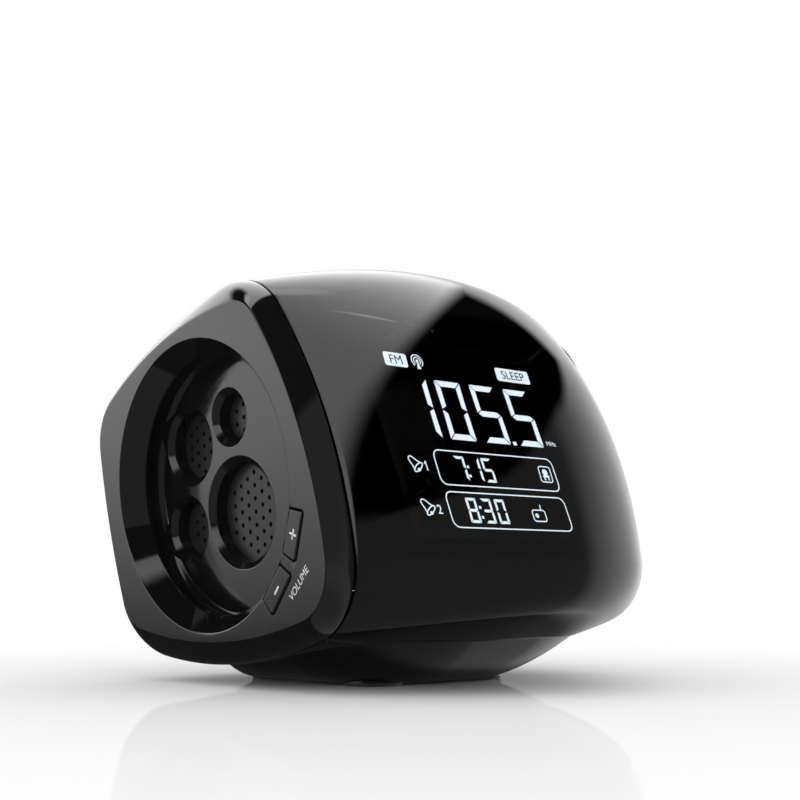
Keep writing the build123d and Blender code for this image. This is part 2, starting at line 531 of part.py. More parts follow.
def make_key_panel():
    frame = panel_frame()
    panel = SKIN & slab(PANEL_SLAB)
    proud = body_solid(KEY_PROUD)
    under = body_solid(-WALL - KEY_UNDER)
    crust = proud - under
    switch_top = -STEM_FOOT - max(SNOOZE_TRAVEL, KEY_TRAVEL) - STEM_GAP
    board_top = switch_top - SWITCH_H
    switches = []
    for name, x, y, width, height, travel in key_places():
        place = frame * Pos(x, y)
        panel -= place * key_prism(width + 2 * RUN, height + 2 * RUN, KEY_CORNER + RUN)
        key = crust & (place * key_prism(width, height, KEY_CORNER))
        stem_places = (-STEM_SPREAD / 2, STEM_SPREAD / 2) if name == "snooze_bar" else (0.0,)
        for sx in stem_places:
            stem = Pos(sx, 0, -STEM_FOOT) * Cylinder(STEM_R, STEM_FOOT, align=CENTRED)
            key += (place * stem) & body_solid(-WALL)
            switches.append(place * Pos(sx, 0, board_top) * Box(
                SWITCH_W, SWITCH_W, SWITCH_H, align=CENTRED))
        parts[name] = key
    for sx in (-1, 1):
        panel += lug(MID_X + sx * LUG_X, LUG_HIGH_Z - LUG_OVERLAP, REAR_PART_Z + LUG_OVERLAP)
    key_row = [y for _, _, y, _, _, _ in key_places()]
    board_y = (min(key_row) + max(key_row)) / 2
    board_w = (len(KEY_NAMES) - 1) * KEY_PITCH + 2 * KEY_BOARD_BORDER_X
    board_h = max(key_row) - min(key_row) + SWITCH_W + 2 * KEY_BOARD_BORDER_Y
    for sx in (-1, 1):
        post = Pos(sx * (board_w / 2 - KEY_POST_INSET), board_y - 1, board_top) * Cylinder(
            KEY_POST_R, CASE_REACH, align=CENTRED)
        panel += (frame * post) & INNER
    parts["key_panel"] = panel
    parts["key_board"] = frame * Pos(0, board_y, board_top - BOARD_THICK) * Box(
        board_w, board_h, BOARD_THICK, align=CENTRED)
    parts["key_switches"] = Compound(children=switches)


# ---------------------------------------------------------------- rear cover and fittings
def tray_block(grow, start_y):
    return Pos(MID_X + TRAY_X, start_y, TRAY_Z) * Box(
        TRAY_W + 2 * grow, CASE_REACH, TRAY_H + 2 * grow,
        align=(Align.CENTER, Align.MIN, Align.CENTER))


def make_rear():
    cover = SKIN & slab(REAR_SLAB)
    y_axis = Plane(origin=(0, 0, 0), x_dir=(1, 0, 0), z_dir=(0, 1, 0))

    def along_y(x, z, radius, start_y):
        return y_axis * Pos(x, -z, start_y) * Cylinder(radius, CASE_REACH, align=CENTRED)

    cover -= tray_block(RUN, TRAY_IN)
    holder = Pos(MID_X + TRAY_X, TRAY_IN - HOLDER_WALL, TRAY_Z) * Box(
        TRAY_W + 2 * RUN + 2 * HOLDER_WALL, CASE_REACH, TRAY_H + 2 * RUN + 2 * HOLDER_WALL,
        align=(Align.CENTER, Align.MIN, Align.CENTER)) & INNER
    parts["battery_holder"] = holder - tray_block(RUN, TRAY_IN)
    tray = tray_block(0.0, TRAY_IN + RUN) & OUTER
    cell_y = TRAY_IN + RUN + CELL_EDGE + CELL_R
    well = Pos(MID_X + TRAY_X, cell_y, TRAY_Z + TRAY_H / 2 - CELL_H) * Cylinder(
        CELL_R + FIT, CASE_REACH, align=CENTRED)
    grip = rear_wall_y(MID_X + TRAY_X, TRAY_Z)
    notch = Pos(MID_X + TRAY_X, grip, TRAY_Z + TRAY_H / 2) * Box(
        GRIP_W, 2 * GRIP_DEEP, 2 * GRIP_H)
    parts["battery_tray"] = tray - well - notch
    parts["backup_cell"] = Pos(MID_X + TRAY_X, cell_y, TRAY_Z + TRAY_H / 2 - CELL_H) * Cylinder(
        CELL_R, CELL_H, align=CENTRED)
    fittings = (("power_inlet", JACK_X, JACK_NOSE_R, JACK_BORE_R, JACK_BODY),
                ("aux_socket", AUX_X, AUX_NOSE_R, AUX_BORE_R, AUX_BODY))
    for name, x, nose_r, bore_r, body in fittings:
        wall_y = rear_wall_y(MID_X + x, JACK_Z)
        start = wall_y - WALL - JACK_DEPTH
        block = Pos(MID_X + x, start, JACK_Z) * Box(
            body, CASE_REACH, body, align=(Align.CENTER, Align.MIN, Align.CENTER)) & INNER
        nose = along_y(MID_X + x, JACK_Z, nose_r, start + JACK_FLOOR) & OUTER
        socket = block + nose - along_y(MID_X + x, JACK_Z, bore_r, start + JACK_FLOOR)
        if name == "power_inlet":
            pin = along_y(MID_X + x, JACK_Z, JACK_PIN_R, start + JACK_FLOOR - ROOT) & Pos(
                MID_X + x, start, JACK_Z) * Box(
                    body, JACK_DEPTH, body, align=(Align.CENTER, Align.MIN, Align.CENTER))
            socket += pin
        parts[name] = socket
        cover -= along_y(MID_X + x, JACK_Z, nose_r + FIT, start)
    screws = [screw(x, z) for x, z in screw_places()]
    for x, z in screw_places():
        cutter = screw(x, z, FIT)
        cover -= cutter
        for owner in ("base_shell", "key_panel"):
            parts[owner] -= cutter
    parts["case_screws"] = Compound(children=screws)
    parts["rear_cover"] = cover


# ---------------------------------------------------------------- boards inside
def board_posts():
    return [(MID_X + sx * (BOARD_W / 2 - BOARD_POST_INSET),
             BOARD_Y + sy * (BOARD_D / 2 - BOARD_POST_INSET))
            for sx in (-1, 1) for sy in (-1, 1)]


def make_main_board():
    top = BOARD_Z + BOARD_THICK
    parts["main_board"] = Pos(MID_X, BOARD_Y, BOARD_Z) * Box(BOARD_W, BOARD_D, BOARD_THICK,
                                                             align=CENTRED)
    parts["radio_tuner_can"] = Pos(MID_X + TUNER_X, BOARD_Y + TUNER_Y, top) * Box(
        TUNER_W, TUNER_D, TUNER_H, align=CENTRED)
    chips = [Pos(MID_X + x, BOARD_Y + y, top) * Box(width, depth, height, align=CENTRED)
             for x, y, width, depth, height in CHIPS]
    cans = [Pos(MID_X + x, BOARD_Y + y, top) * Cylinder(radius, height, align=CENTRED)
            for x, y, radius, height in CAPACITORS]
    parts["board_components"] = Compound(children=chips + cans)


# ---------------------------------------------------------------- projector drum
def make_drum(frame):
    """Carrier with its bearing, drum on an axle, cover and clip; z points out of the right face."""
    carrier = make_bowl()
    carrier += disc(AXLE_R + BEARING_WALL, BOWL_DEPTH - BEARING_DEEP, BOWL_BACK + BEARING_PROUD)
    carrier -= disc(AXLE_R + AXLE_GAP, 0, CLIP_DEPTH)
    inwards = Plane(origin=frame.origin, x_dir=frame.x_dir, z_dir=-frame.z_dir)
    parts["projector_carrier"] = inwards * carrier
    rim = DRUM_PROUD - COVER_THICK
    clip_back = CLIP_DEPTH + CLIP_THICK
    axle_end = -clip_back - AXLE_END
    drum = disc(DRUM_R, -DRUM_IN, rim) - disc(DRUM_R - DRUM_WALL, -DRUM_IN + DRUM_WALL, rim + 1)
    drum += disc(AXLE_R, -CLIP_DEPTH, -DRUM_IN + DRUM_WALL / 2)
    drum += disc(AXLE_R - CLIP_GROOVE, axle_end, -CLIP_DEPTH)
    drum += disc(AXLE_R, axle_end, -clip_back)
    groove = Pos(DRUM_R + GROOVE_SINK, 0, GROOVE_START) * Cylinder(
        GROOVE_R, rim - GROOVE_START - GROOVE_END, align=CENTRED)
    first, last = 2, DRUM_GROOVES - 3       # the barrel stands in the gap between them
    grooves = [Rot(0, 0, LENS_ANGLE + (i + 0.5) * 360 / DRUM_GROOVES) * groove
               for i in range(first, last + 1)]
    window = sight_plane() * disc(BARREL_R, DRUM_R - 2 * DRUM_WALL, DRUM_R + DRUM_WALL)
    parts["projector_drum"] = frame * (drum - grooves - window)
    parts["drum_cover"] = frame * chamfer(
        disc(DRUM_R, rim, DRUM_PROUD).edges().group_by(Axis.Z)[-1], COVER_EDGE)
    clip = disc(AXLE_R + CLIP_BORDER, -clip_back, -CLIP_DEPTH, AXLE_R - CLIP_GROOVE)
    mouth = Pos(AXLE_R, 0, -clip_back - 1) * Box(2 * AXLE_R, CLIP_MOUTH, CLIP_THICK + 2,
                                                 align=CENTRED)
    parts["axle_clip"] = frame * (clip - mouth)


def sight_plane():
    """Across the drum, z along the line that the projector looks."""
    angle = math.radians(LENS_ANGLE)
    return Plane(origin=(0, 0, LENS_W), x_dir=(0, 0, 1),
                 z_dir=Vector(math.cos(angle), math.sin(angle)))


def make_lens(place):
    """Lens cell that slides in the barrel, and the lens with two bulging faces in it."""
    cell_r = BARREL_R - BARREL_WALL - CELL_GAP
    lens_r = cell_r - CELL_WALL
    end = BARREL_OUT - CELL_SET_BACK
    start = end - CELL_LENGTH
    cell = disc(cell_r, start, end, lens_r)
    cell += disc(cell_r, start, start + 2 * CELL_LEDGE, lens_r - CELL_LEDGE)
    parts["lens_cell"] = place * cell
    middle = end - LENS_SET_BACK
    bulge = (LENS_THICK - LENS_EDGE) / 2
    bulge_r = (lens_r ** 2 + bulge ** 2) / (2 * bulge)
    side = Pos(lens_r / 2, middle) * Rectangle(lens_r, LENS_THICK)
    for sign in (-1, 1):
        side &= Pos(0, middle + sign * (LENS_THICK / 2 - bulge_r)) * Circle(bulge_r)
    parts["projector_lens"] = place * revolve(Plane.XZ * side, Axis.Z)


def make_light(frame):
    """Lamp board, condenser, digit mask and their box, on the floor of the drum."""
    place = frame * sight_plane()
    half = BARREL_R + LIGHT_WALL
    hollow = BARREL_R - BARREL_WALL
    box = Pos(0, 0, LIGHT_IN) * Box(2 * half, 2 * half, BARREL_IN - LIGHT_IN, align=CENTRED)
    box -= Pos(0, 0, LIGHT_IN - 1) * Box(2 * hollow, 2 * hollow, BARREL_IN - LIGHT_IN + 2,
                                         align=CENTRED)
    floor = -DRUM_IN + DRUM_WALL
    foot = Rot(0, 0, LENS_ANGLE) * Pos((BARREL_IN + LIGHT_IN) / 2, 0, floor) * Box(
        LIGHT_FOOT_L, LIGHT_FOOT_W, LENS_W - half + ROOT - floor, align=CENTRED)
    parts["light_box"] = frame * (sight_plane() * box + foot)
    parts["digit_mask"] = place * Pos(0, 0, BARREL_IN - MASK_FROM_END) * Box(
        2 * hollow, 2 * hollow, MASK_THICK, align=CENTRED)
    condenser = BARREL_IN - CONDENSER_FROM_END
    parts["condenser_lens"] = place * disc(hollow, condenser, condenser + CONDENSER_THICK)
    board = Pos(0, 0, LIGHT_IN - BOARD_THICK) * Box(2 * half, LED_BOARD_L, BOARD_THICK,
                                                    align=CENTRED)
    lamp = Pos(0, 0, LIGHT_IN) * Box(LED_W, LED_W, LED_H, align=CENTRED)
    parts["projector_led_board"] = place * (board + lamp)


def make_projector(frame):
    make_drum(frame)
    place = frame * sight_plane()
    tube = disc(BARREL_R, BARREL_IN, BARREL_OUT, BARREL_R - BARREL_WALL)
    parts["projector_barrel"] = place * tube
    inside = BARREL_R + FOCUS_GAP
    rib = Pos(inside + FOCUS_WALL, 0, FOCUS_IN + FOCUS_RIB_END) * Cylinder(
        FOCUS_RIB_R, FOCUS_OUT - FOCUS_IN - 2 * FOCUS_RIB_END, align=CENTRED)
    ribs = [Rot(0, 0, i * 360 / FOCUS_RIBS) * rib for i in range(FOCUS_RIBS)]
    parts["focus_ring"] = place * (disc(inside + FOCUS_WALL, FOCUS_IN, FOCUS_OUT, inside) - ribs)
    make_lens(place)
    make_light(frame)


# ---------------------------------------------------------------- assembly
def build():
    left, right = cap_frame(-1), cap_frame(1)
    cap = left * make_left_cap()
    parts["right_end_cap"] = mirrored(cap)
    for angle in VOLUME_ANGLES.values():
        cap -= left * Pos(0, 0, -1) * extrude(volume_sector(angle, RUN / 2),
                                              1 + VOLUME_HEIGHT + VOLUME_TRAVEL)
    parts["left_end_cap"] = cap
    parts["front_shell"] = SKIN & slab(FRONT_SLAB)
    parts["base_shell"] = make_base()
    make_feet()
    make_volume_keys(left)
    make_speaker_side(left)
    make_display()
    make_key_panel()
    make_rear()
    make_main_board()
    make_projector(right)


def save(folder):
    os.makedirs(folder, exist_ok=True)
    for name, shape in parts.items():
        solids = shape.solids()
        whole = solids[0] if len(solids) == 1 else Compound(children=solids)
        export_step(whole, os.path.join(folder, f"{name}.step"))
        print(f"{name:22s} {len(solids):3d} solid(s) {sum(s.volume for s in solids):10.1f} mm3")


build()
save("parts")
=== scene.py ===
# %% [markdown]
# # A projection alarm clock
# The packed model is the frame: it holds the true size and place of every piece. This script
# gives each piece its finish, and rebuilds the pieces whose edges and lettering need a finer mesh.
# Lengths below are in millimetres, as on a drawing, and become metres when a mesh is made.

# %% The frame
import json
import math
from collections import namedtuple

import bmesh
import bpy
import numpy as np
from mathutils import Matrix, Vector
from mathutils.bvhtree import BVHTree

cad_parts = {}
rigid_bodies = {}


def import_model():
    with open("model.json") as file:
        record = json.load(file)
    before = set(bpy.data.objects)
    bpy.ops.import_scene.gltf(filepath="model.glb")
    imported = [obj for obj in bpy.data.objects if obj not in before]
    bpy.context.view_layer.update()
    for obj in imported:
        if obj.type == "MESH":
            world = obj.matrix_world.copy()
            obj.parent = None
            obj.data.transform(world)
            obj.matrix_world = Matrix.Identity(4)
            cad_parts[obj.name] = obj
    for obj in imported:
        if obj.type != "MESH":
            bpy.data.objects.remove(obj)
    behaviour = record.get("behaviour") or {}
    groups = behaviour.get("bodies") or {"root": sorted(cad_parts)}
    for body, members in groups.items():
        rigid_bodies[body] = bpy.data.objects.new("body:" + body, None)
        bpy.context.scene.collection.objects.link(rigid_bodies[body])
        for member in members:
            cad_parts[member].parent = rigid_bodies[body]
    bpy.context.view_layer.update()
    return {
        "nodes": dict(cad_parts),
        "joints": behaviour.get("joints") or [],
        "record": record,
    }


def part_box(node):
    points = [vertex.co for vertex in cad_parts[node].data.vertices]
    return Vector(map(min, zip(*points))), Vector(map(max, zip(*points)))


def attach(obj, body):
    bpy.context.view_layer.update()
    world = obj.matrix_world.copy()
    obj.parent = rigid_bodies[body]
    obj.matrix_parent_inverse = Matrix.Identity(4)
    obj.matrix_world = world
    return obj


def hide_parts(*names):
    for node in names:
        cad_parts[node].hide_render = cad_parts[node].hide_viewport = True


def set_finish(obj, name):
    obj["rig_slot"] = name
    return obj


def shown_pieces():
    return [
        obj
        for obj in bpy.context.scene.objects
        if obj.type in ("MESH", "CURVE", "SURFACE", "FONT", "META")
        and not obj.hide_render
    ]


for leftover in list(bpy.data.objects):
    bpy.data.objects.remove(leftover)
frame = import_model()

# %% [markdown]
# ## Where the clock's axes are
# Both end faces lean: they look slightly down. The axle of the projector drum stands square on the
# right face, so its joint tells the lean, and where the face is. The front shell tells the middle.

# %% Axes
MM = 0.001
joints = {joint["name"]: joint for joint in frame["joints"]}
AXLE = joints["projector_turn"]
AXLE_X, AXIS_Y, AXIS_Z = (length / MM for length in AXLE["pos_m"])
LEAN = math.asin(-AXLE["axis"][2])
MID_X = sum(corner.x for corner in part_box("front_shell")) / 2 / MM
HALF_WIDTH = AXLE_X - MID_X
SEAM_DEPTH = 9.9
SEAM_HALF = HALF_WIDTH - SEAM_DEPTH * math.cos(LEAN)
BASE_Z = 1.6
print(f"middle at x {MID_X:.2f}, half width {HALF_WIDTH:.2f}, lean {math.degrees(LEAN):.2f} degrees")

# %% [markdown]
# ## The case's outline
# Cut across, the case is a four-sided shape whose sides bulge and whose corners are round. Arcs
# that touch each other describe it with few numbers, and moving it outwards by a distance is
# exact: every radius grows by that distance. Each arc always gets the same number of points, so
# that two outlines can be joined point by point.

# %% Outline numbers
Outline = namedtuple("Outline", "corners bulges radii")
FACE = Outline([(-26.6, 50.4), (-55.8, -34.1), (40.7, -40.3), (53.0, 22.4)],
               [7.6, 7.3, 2.4, 6.8], [10.7, 15.1, 11.3, 16.2])
SEAM = Outline([(-19.6, 60.4), (-55.6, -37.8), (47.1, -47.9), (57.5, 27.3)],
               [10.6, 8.6, 1.0, 3.9], [21.7, 22.0, 21.9, 20.1])
MIDDLE = Outline([(-23.4, 70.5), (-95.6, -31.8), (49.1, -51.4), (59.5, 33.4)],
                 [17.8, 9.0, 1.2, 4.2], [46.7, 13.3, 21.9, 20.1])
# The right end is a little slimmer at its upper front corner
RIGHT_FACE = FACE._replace(corners=[(-23.9, 46.6), *FACE.corners[1:]],
                           bulges=[5.4, *FACE.bulges[1:]])
RIGHT_SEAM_LINE = SEAM._replace(corners=[(-23.6, 58.1), *SEAM.corners[1:]],
                                bulges=[7.4, *SEAM.bulges[1:]])
FRONT_SWELL, TOP_SWELL, FLANK_SWELL = 2.3, 2.0, 2.2
CORNER_STEPS, SIDE_STEPS = 24, 40
print("corners of the end face, to the rear and up:", FACE.corners)


# %% Outline geometry
def arc(centre, start, end, radius, count):
    """Points from start towards end, the short way round centre; the end itself is left out."""
    first = math.atan2(*(start - centre)[::-1])
    turn = (math.atan2(*(end - centre)[::-1]) - first + math.pi) % (2 * math.pi) - math.pi
    angles = first + turn * np.arange(count) / count
    return centre + radius * np.stack([np.cos(angles), np.sin(angles)], 1)


def side_circle(start, end, bulge):
    chord = end - start
    length = np.linalg.norm(chord)
    outward = np.array([chord[1], -chord[0]]) / length
    radius = (length ** 2 / 4 + bulge ** 2) / (2 * bulge)
    return (start + end) / 2 - outward * (radius - bulge), radius


def corner_centre(corner, first, second, radius):
    """Centre of the rounding that touches two side circles from inside, next to their corner."""
    gap = second[0] - first[0]
    length = np.linalg.norm(gap)
    a, b = first[1] - radius, second[1] - radius
    along = (length ** 2 + a ** 2 - b ** 2) / (2 * length)
    aside = math.sqrt(max(a ** 2 - along ** 2, 0.0))
    foot = first[0] + gap / length * along
    side = np.array([-gap[1], gap[0]]) / length * aside
    return min(foot + side, foot - side, key=lambda point: np.linalg.norm(point - corner))


print("a side 60 mm long that bulges 2 mm is an arc of radius",
      side_circle(np.array((0.0, 0.0)), np.array((60.0, 0.0)), 2.0)[1])


# %% Round the outline
def outline_points(outline, grow=0.0):
    """The closed outline as points, moved outwards by grow."""
    corners = [np.array(corner) for corner in outline.corners]
    sides = [side_circle(corners[i], corners[(i + 1) % 4], outline.bulges[i]) for i in range(4)]
    rounds = [corner_centre(corners[i], sides[i - 1], sides[i], outline.radii[i])
              for i in range(4)]

    def touch(side, centre):
        direction = centre - side[0]
        return side[0] + direction / np.linalg.norm(direction) * (side[1] + grow)

    loop = []
    for i in range(4):
        start, end = touch(sides[i - 1], rounds[i]), touch(sides[i], rounds[i])
        follow = touch(sides[i], rounds[(i + 1) % 4])
        loop.append(arc(rounds[i], start, end, outline.radii[i] + grow, CORNER_STEPS))
        loop.append(arc(sides[i][0], end, follow, sides[i][1] + grow, SIDE_STEPS))
    return np.concatenate(loop)


print(len(outline_points(SEAM)), "points round the case")


# %% Between two outlines
def blend(a, b, front, top):
    """Outline between a and b; front and top say how far lengths along Y and Z have gone."""
    def mix(p, q, share):
        return p + (q - p) * share
    corners = [(mix(p[0], q[0], front), mix(p[1], q[1], top))
               for p, q in zip(a.corners, b.corners)]
    return Outline(corners, [mix(p, q, front) for p, q in zip(a.bulges, b.bulges)],
                   [mix(p, q, front) for p, q in zip(a.radii, b.radii)])


print("halfway from seam to middle:", blend(SEAM, MIDDLE, 0.5, 0.5).corners)


# %% [markdown]
# ## From outlines to places
# The sections fan out: at the seams they lean like the end faces, in the middle they stand
# upright. A section's own x runs to the rear of the clock and its own y runs up.

# %% Sections of the body and of an end cap
def body_ring(u, grow=0.0):
    """Section of the body at u, from -1 at the left seam to +1 at the right one."""
    end = SEAM if u < 0 else RIGHT_SEAM_LINE
    outline = blend(end, MIDDLE, 1 - abs(u) ** FRONT_SWELL, 1 - abs(u) ** TOP_SWELL)
    back, up = outline_points(outline, grow).T
    x = MID_X + u * SEAM_HALF + up * math.sin(u * LEAN)
    z = AXIS_Z + SEAM_DEPTH * math.sin(LEAN) * u * u + up * math.cos(u * LEAN)
    return np.stack([x, AXIS_Y + back, z], 1)


def on_cap(points, depth, side=-1):
    """Points (to the rear, up) in the plane of an end cap, at a depth below its face."""
    back, up = np.asarray(points, float).T
    x = MID_X + side * (HALF_WIDTH - depth * math.cos(LEAN) + up * math.sin(LEAN))
    z = AXIS_Z + depth * math.sin(LEAN) + up * math.cos(LEAN)
    return np.stack([x, AXIS_Y + back, z], 1)


def flank_outline(depth, side=-1):
    """Outline of an end cap at a depth below its face."""
    face, seam = (FACE, SEAM) if side < 0 else (RIGHT_FACE, RIGHT_SEAM_LINE)
    done = 1 - (1 - depth / SEAM_DEPTH) ** FLANK_SWELL
    return blend(face, seam, done, done)


def circle_points(radius, count, centre=(0.0, 0.0)):
    angles = 2 * math.pi * np.arange(count) / count
    return np.stack([np.cos(angles), np.sin(angles)], 1) * radius + np.array(centre)


print(f"the case is {np.ptp(body_ring(0.0)[:, 1]):.1f} mm deep in the middle")


# %% [markdown]
# ## Making meshes
# Most pieces are stacks of rings, each joined to the next with quads. Rings suit moulded and
# turned pieces, because a point keeps its neighbours from one section to the next, so that
# highlights run along the form. `loft` joins the rings, and flat ends with holes are filled
# between their loops.

# %% Rings to meshes
def new_object(name, data):
    made = bpy.data.objects.new(name, data)
    bpy.context.scene.collection.objects.link(made)
    return made


def loft(bm, rings, closed=True):
    """Adds quads between rings of points that are equally long; returns the rows of vertices."""
    rows = [[bm.verts.new(Vector(point) * MM) for point in ring] for ring in rings]
    count = len(rows[0])
    for lower, upper in zip(rows, rows[1:]):
        for i in range(count if closed else count - 1):
            j = (i + 1) % count
            bm.faces.new((lower[i], lower[j], upper[j], upper[i]))
    return rows


def fill_between(bm, loops):
    """Fills the flat area between an outer loop of vertices and the loops inside it."""
    edges = []
    for loop in loops:
        for a, b in zip(loop, loop[1:] + loop[:1]):
            edges.append(bm.edges.get((a, b)) or bm.edges.new((a, b)))
    bmesh.ops.triangle_fill(bm, use_beauty=True, use_dissolve=False, edges=edges)


trial = bmesh.new()
loft(trial, [np.zeros((12, 3)), np.ones((12, 3))])
print("two rings of 12 points make", len(trial.faces), "quads")
trial.free()


# %% [markdown]
# A mesh becomes a piece when it moves with its body, stands for its node in the frame and takes
# its finish from a named material slot. Its shading is smooth, except where faces meet at more
# than a certain angle. Large flat faces should look flat right up to a rounding, and weighted
# normals let them rule over the small faces beside them.

# %% From mesh to piece
def finish_mesh(bm, name, weld=1e-7, recalculate=True):
    bmesh.ops.remove_doubles(bm, verts=bm.verts, dist=weld)
    if recalculate:
        bmesh.ops.recalc_face_normals(bm, faces=bm.faces)
    mesh = bpy.data.meshes.new(name)
    bm.to_mesh(mesh)
    bm.free()
    mesh.shade_smooth()
    return new_object(name, mesh)


def crease_shading(made, degrees=32):
    """Smooth shading that breaks where faces meet at more than an angle."""
    made.data.set_sharp_from_angle(angle=math.radians(degrees))


def flat_normals(made):
    """Lets the large flat faces rule the shading."""
    weighted = made.modifiers.new("flat_normals", "WEIGHTED_NORMAL")
    weighted.mode = "FACE_AREA"
    weighted.keep_sharp = True


def add_piece(made, body, slot, *nodes):
    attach(made, body)
    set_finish(made, slot)
    if nodes:
        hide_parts(*nodes)
    print(f"{made.name}: {len(made.data.vertices)} points, rides on {body}")
    return made


# %% [markdown]
# ## The wrap-round shells
# Front, key panel, rear cover and base are one bulged skin, cut along parting lines. Real mouldings
# never end in a knife edge: each shell's edge rolls over by a third of a millimetre and a hair of
# a gap stays between neighbours. That line of shadow and its glint make the seams read as seams.
# So the skin is cut a little beside each parting plane, and the last points before the cut sink
# along a quarter circle.

# %% Parting planes
SEAM_GAP, EDGE_ROLL, SHELL_WALL = 0.07, 0.35, 1.5
ROLL_CUTS = (0.05, 0.12, 0.22, 0.35)
BODY_SECTIONS = 97
FRONT_PART_Y, FRONT_PART_Z, FRONT_PART_RISE = -25.3, 13.9, 0.35
BASE_PART_Z, RIDGE_PART_Y = 26.3, 24.0
REAR_LINE = ((24.0, 62.0), (120.0, 70.0))

Cut = namedtuple("Cut", "point normal")     # what lies on the normal's side is kept
Cut.__doc__ = "A plane that trims a shell."
LEFT_SEAM = Cut(Vector((MID_X - SEAM_HALF, AXIS_Y, AXIS_Z + SEAM_DEPTH * math.sin(LEAN))),
                Vector((math.cos(LEAN), 0, math.sin(LEAN))))
RIGHT_SEAM = Cut(Vector((MID_X + SEAM_HALF, AXIS_Y, AXIS_Z + SEAM_DEPTH * math.sin(LEAN))),
                 Vector((-math.cos(LEAN), 0, math.sin(LEAN))))
ABOVE_BASE = Cut(Vector((0, FRONT_PART_Y, FRONT_PART_Z)),
                 Vector((0, -FRONT_PART_RISE, 1)).normalized())
BEFORE_RIDGE = Cut(Vector((0, RIDGE_PART_Y, 0)), Vector((0, -1, 0)))
ABOVE_REAR = Cut(Vector((0, *REAR_LINE[0])),
                 Vector((0, REAR_LINE[0][1] - REAR_LINE[1][1],
                         REAR_LINE[1][0] - REAR_LINE[0][0])).normalized())
ABOVE_BASE_REAR = Cut(Vector((0, 0, BASE_PART_Z)), Vector((0, 0, 1)))


def other_side(cut):
    return Cut(cut.point, -cut.normal)


print(f"front parting line {FRONT_PART_Z} mm up at y {FRONT_PART_Y}, ridge at y {RIDGE_PART_Y}")


# %% The skin and its edges
def skin_mesh(grow=0.0):
    bm = bmesh.new()
    loft(bm, [body_ring(u, grow) for u in np.linspace(-1, 1, BODY_SECTIONS)])
    bmesh.ops.recalc_face_normals(bm, faces=bm.faces)
    return bm


def skin_tree(grow):
    """Something to drop points onto: the skin as a search tree, in millimetres."""
    bm = skin_mesh(grow)
    bmesh.ops.scale(bm, vec=(1 / MM,) * 3, verts=bm.verts)
    tree = BVHTree.FromBMesh(bm)
    bm.free()
    return tree


def roll_depth(distance):
    """How far a point sinks at a distance from the edge of its shell."""
    left = max(EDGE_ROLL - distance, 0.0)
    return EDGE_ROLL - math.sqrt(EDGE_ROLL ** 2 - left ** 2)


def trim(bm, cuts):
    """Cuts the skin beside each plane and rolls the new edges inwards."""
    for cut in cuts:
        for step in (0.0, *ROLL_CUTS):
            bmesh.ops.bisect_plane(
                bm, geom=bm.verts[:] + bm.edges[:] + bm.faces[:], dist=1e-8,
                plane_co=(cut.point + cut.normal * (SEAM_GAP + step)) * MM,
                plane_no=cut.normal, clear_inner=step == 0.0)
    bm.normal_update()
    sunk = []
    for vert in bm.verts:
        place = vert.co / MM
        near = min((place - cut.point).dot(cut.normal) for cut in cuts) - SEAM_GAP
        sunk.append(vert.co - vert.normal * roll_depth(max(near, 0.0)) * MM)
    for vert, place in zip(bm.verts, sunk):
        vert.co = place


print("a shell's edge sinks", roll_depth(0.0), "mm where it is cut")


# %% Shells
def wall_behind(made, thickness):
    """Gives a skin its wall, inwards."""
    wall = made.modifiers.new("wall", "SOLIDIFY")
    wall.thickness = thickness * MM
    wall.offset = -1.0
    wall.use_rim = True
    return wall


def make_shell(name, cuts):
    bm = skin_mesh()
    trim(bm, cuts)
    made = finish_mesh(bm, name, recalculate=False)
    wall_behind(made, SHELL_WALL)
    return made


front = make_shell("front_moulding", [LEFT_SEAM, RIGHT_SEAM, ABOVE_BASE, BEFORE_RIDGE])
add_piece(front, "case", "front_gloss", "front_shell")
print("front moulding:", len(front.data.polygons), "faces, wall", SHELL_WALL, "mm")

# %% [markdown]
# ## The base and its belly
# The base is the same skin below the parting lines. Under it the moulding tapers down to the
# feet like the hull of a boat, which lets the clock seem to float a little above the table. A
# slab would be easier to make, but its upright edge would catch the light as a step. So the belly
# is a loft: it starts as a rounded rectangle round the feet, and it ends where a wider one meets
# the skin from below. The rows between them sag a little, which keeps the sides full. Four round
# seats in its underside take the feet.

# %% Belly numbers and plan shapes
FOOT_R, FOOT_X, FOOT_Y_FRONT, FOOT_Y_REAR, FOOT_SINK = 8.6, 20.5, -7.0, 36.5, 0.85
BELLY_FOOT, BELLY_FOOT_CORNER, BELLY_FOOT_Y, BELLY_FOOT_Z = (62.0, 65.7), 22.0, 13.85, 1.0
BELLY_EDGE, BELLY_EDGE_CORNER, BELLY_EDGE_Y = (101.0, 90.0), 38.0, 3.0
BELLY_ROWS, BELLY_FULL, BELLY_SINK = np.linspace(0.08, 0.92, 12), 1.4, 0.3
BELLY_RIM_DEEP, SEAT_GAP, BELOW_TABLE = 0.6, 0.15, 20.0


def rounded_rectangle(width, height, corner, steps=10, centre=(0.0, 0.0), inner=None):
    """Points round a rectangle; inner is another radius for the two corners at low x."""
    radii = [corner, inner or corner, inner or corner, corner]
    points = []
    for quarter, (sx, sy) in enumerate(((1, 1), (-1, 1), (-1, -1), (1, -1))):
        radius = max(radii[quarter], 0.01)
        middle = np.array(centre) + (sx * (width / 2 - radius), sy * (height / 2 - radius))
        angles = math.pi / 2 * (quarter + np.arange(steps + 1) / steps)
        points.append(middle + radius * np.stack([np.cos(angles), np.sin(angles)], 1))
    return np.concatenate(points)


def flat_ring(points, z):
    return np.column_stack([points, np.full(len(points), z)])


print("belly:", BELLY_FOOT, "at the feet,", BELLY_EDGE, "where it meets the skin")


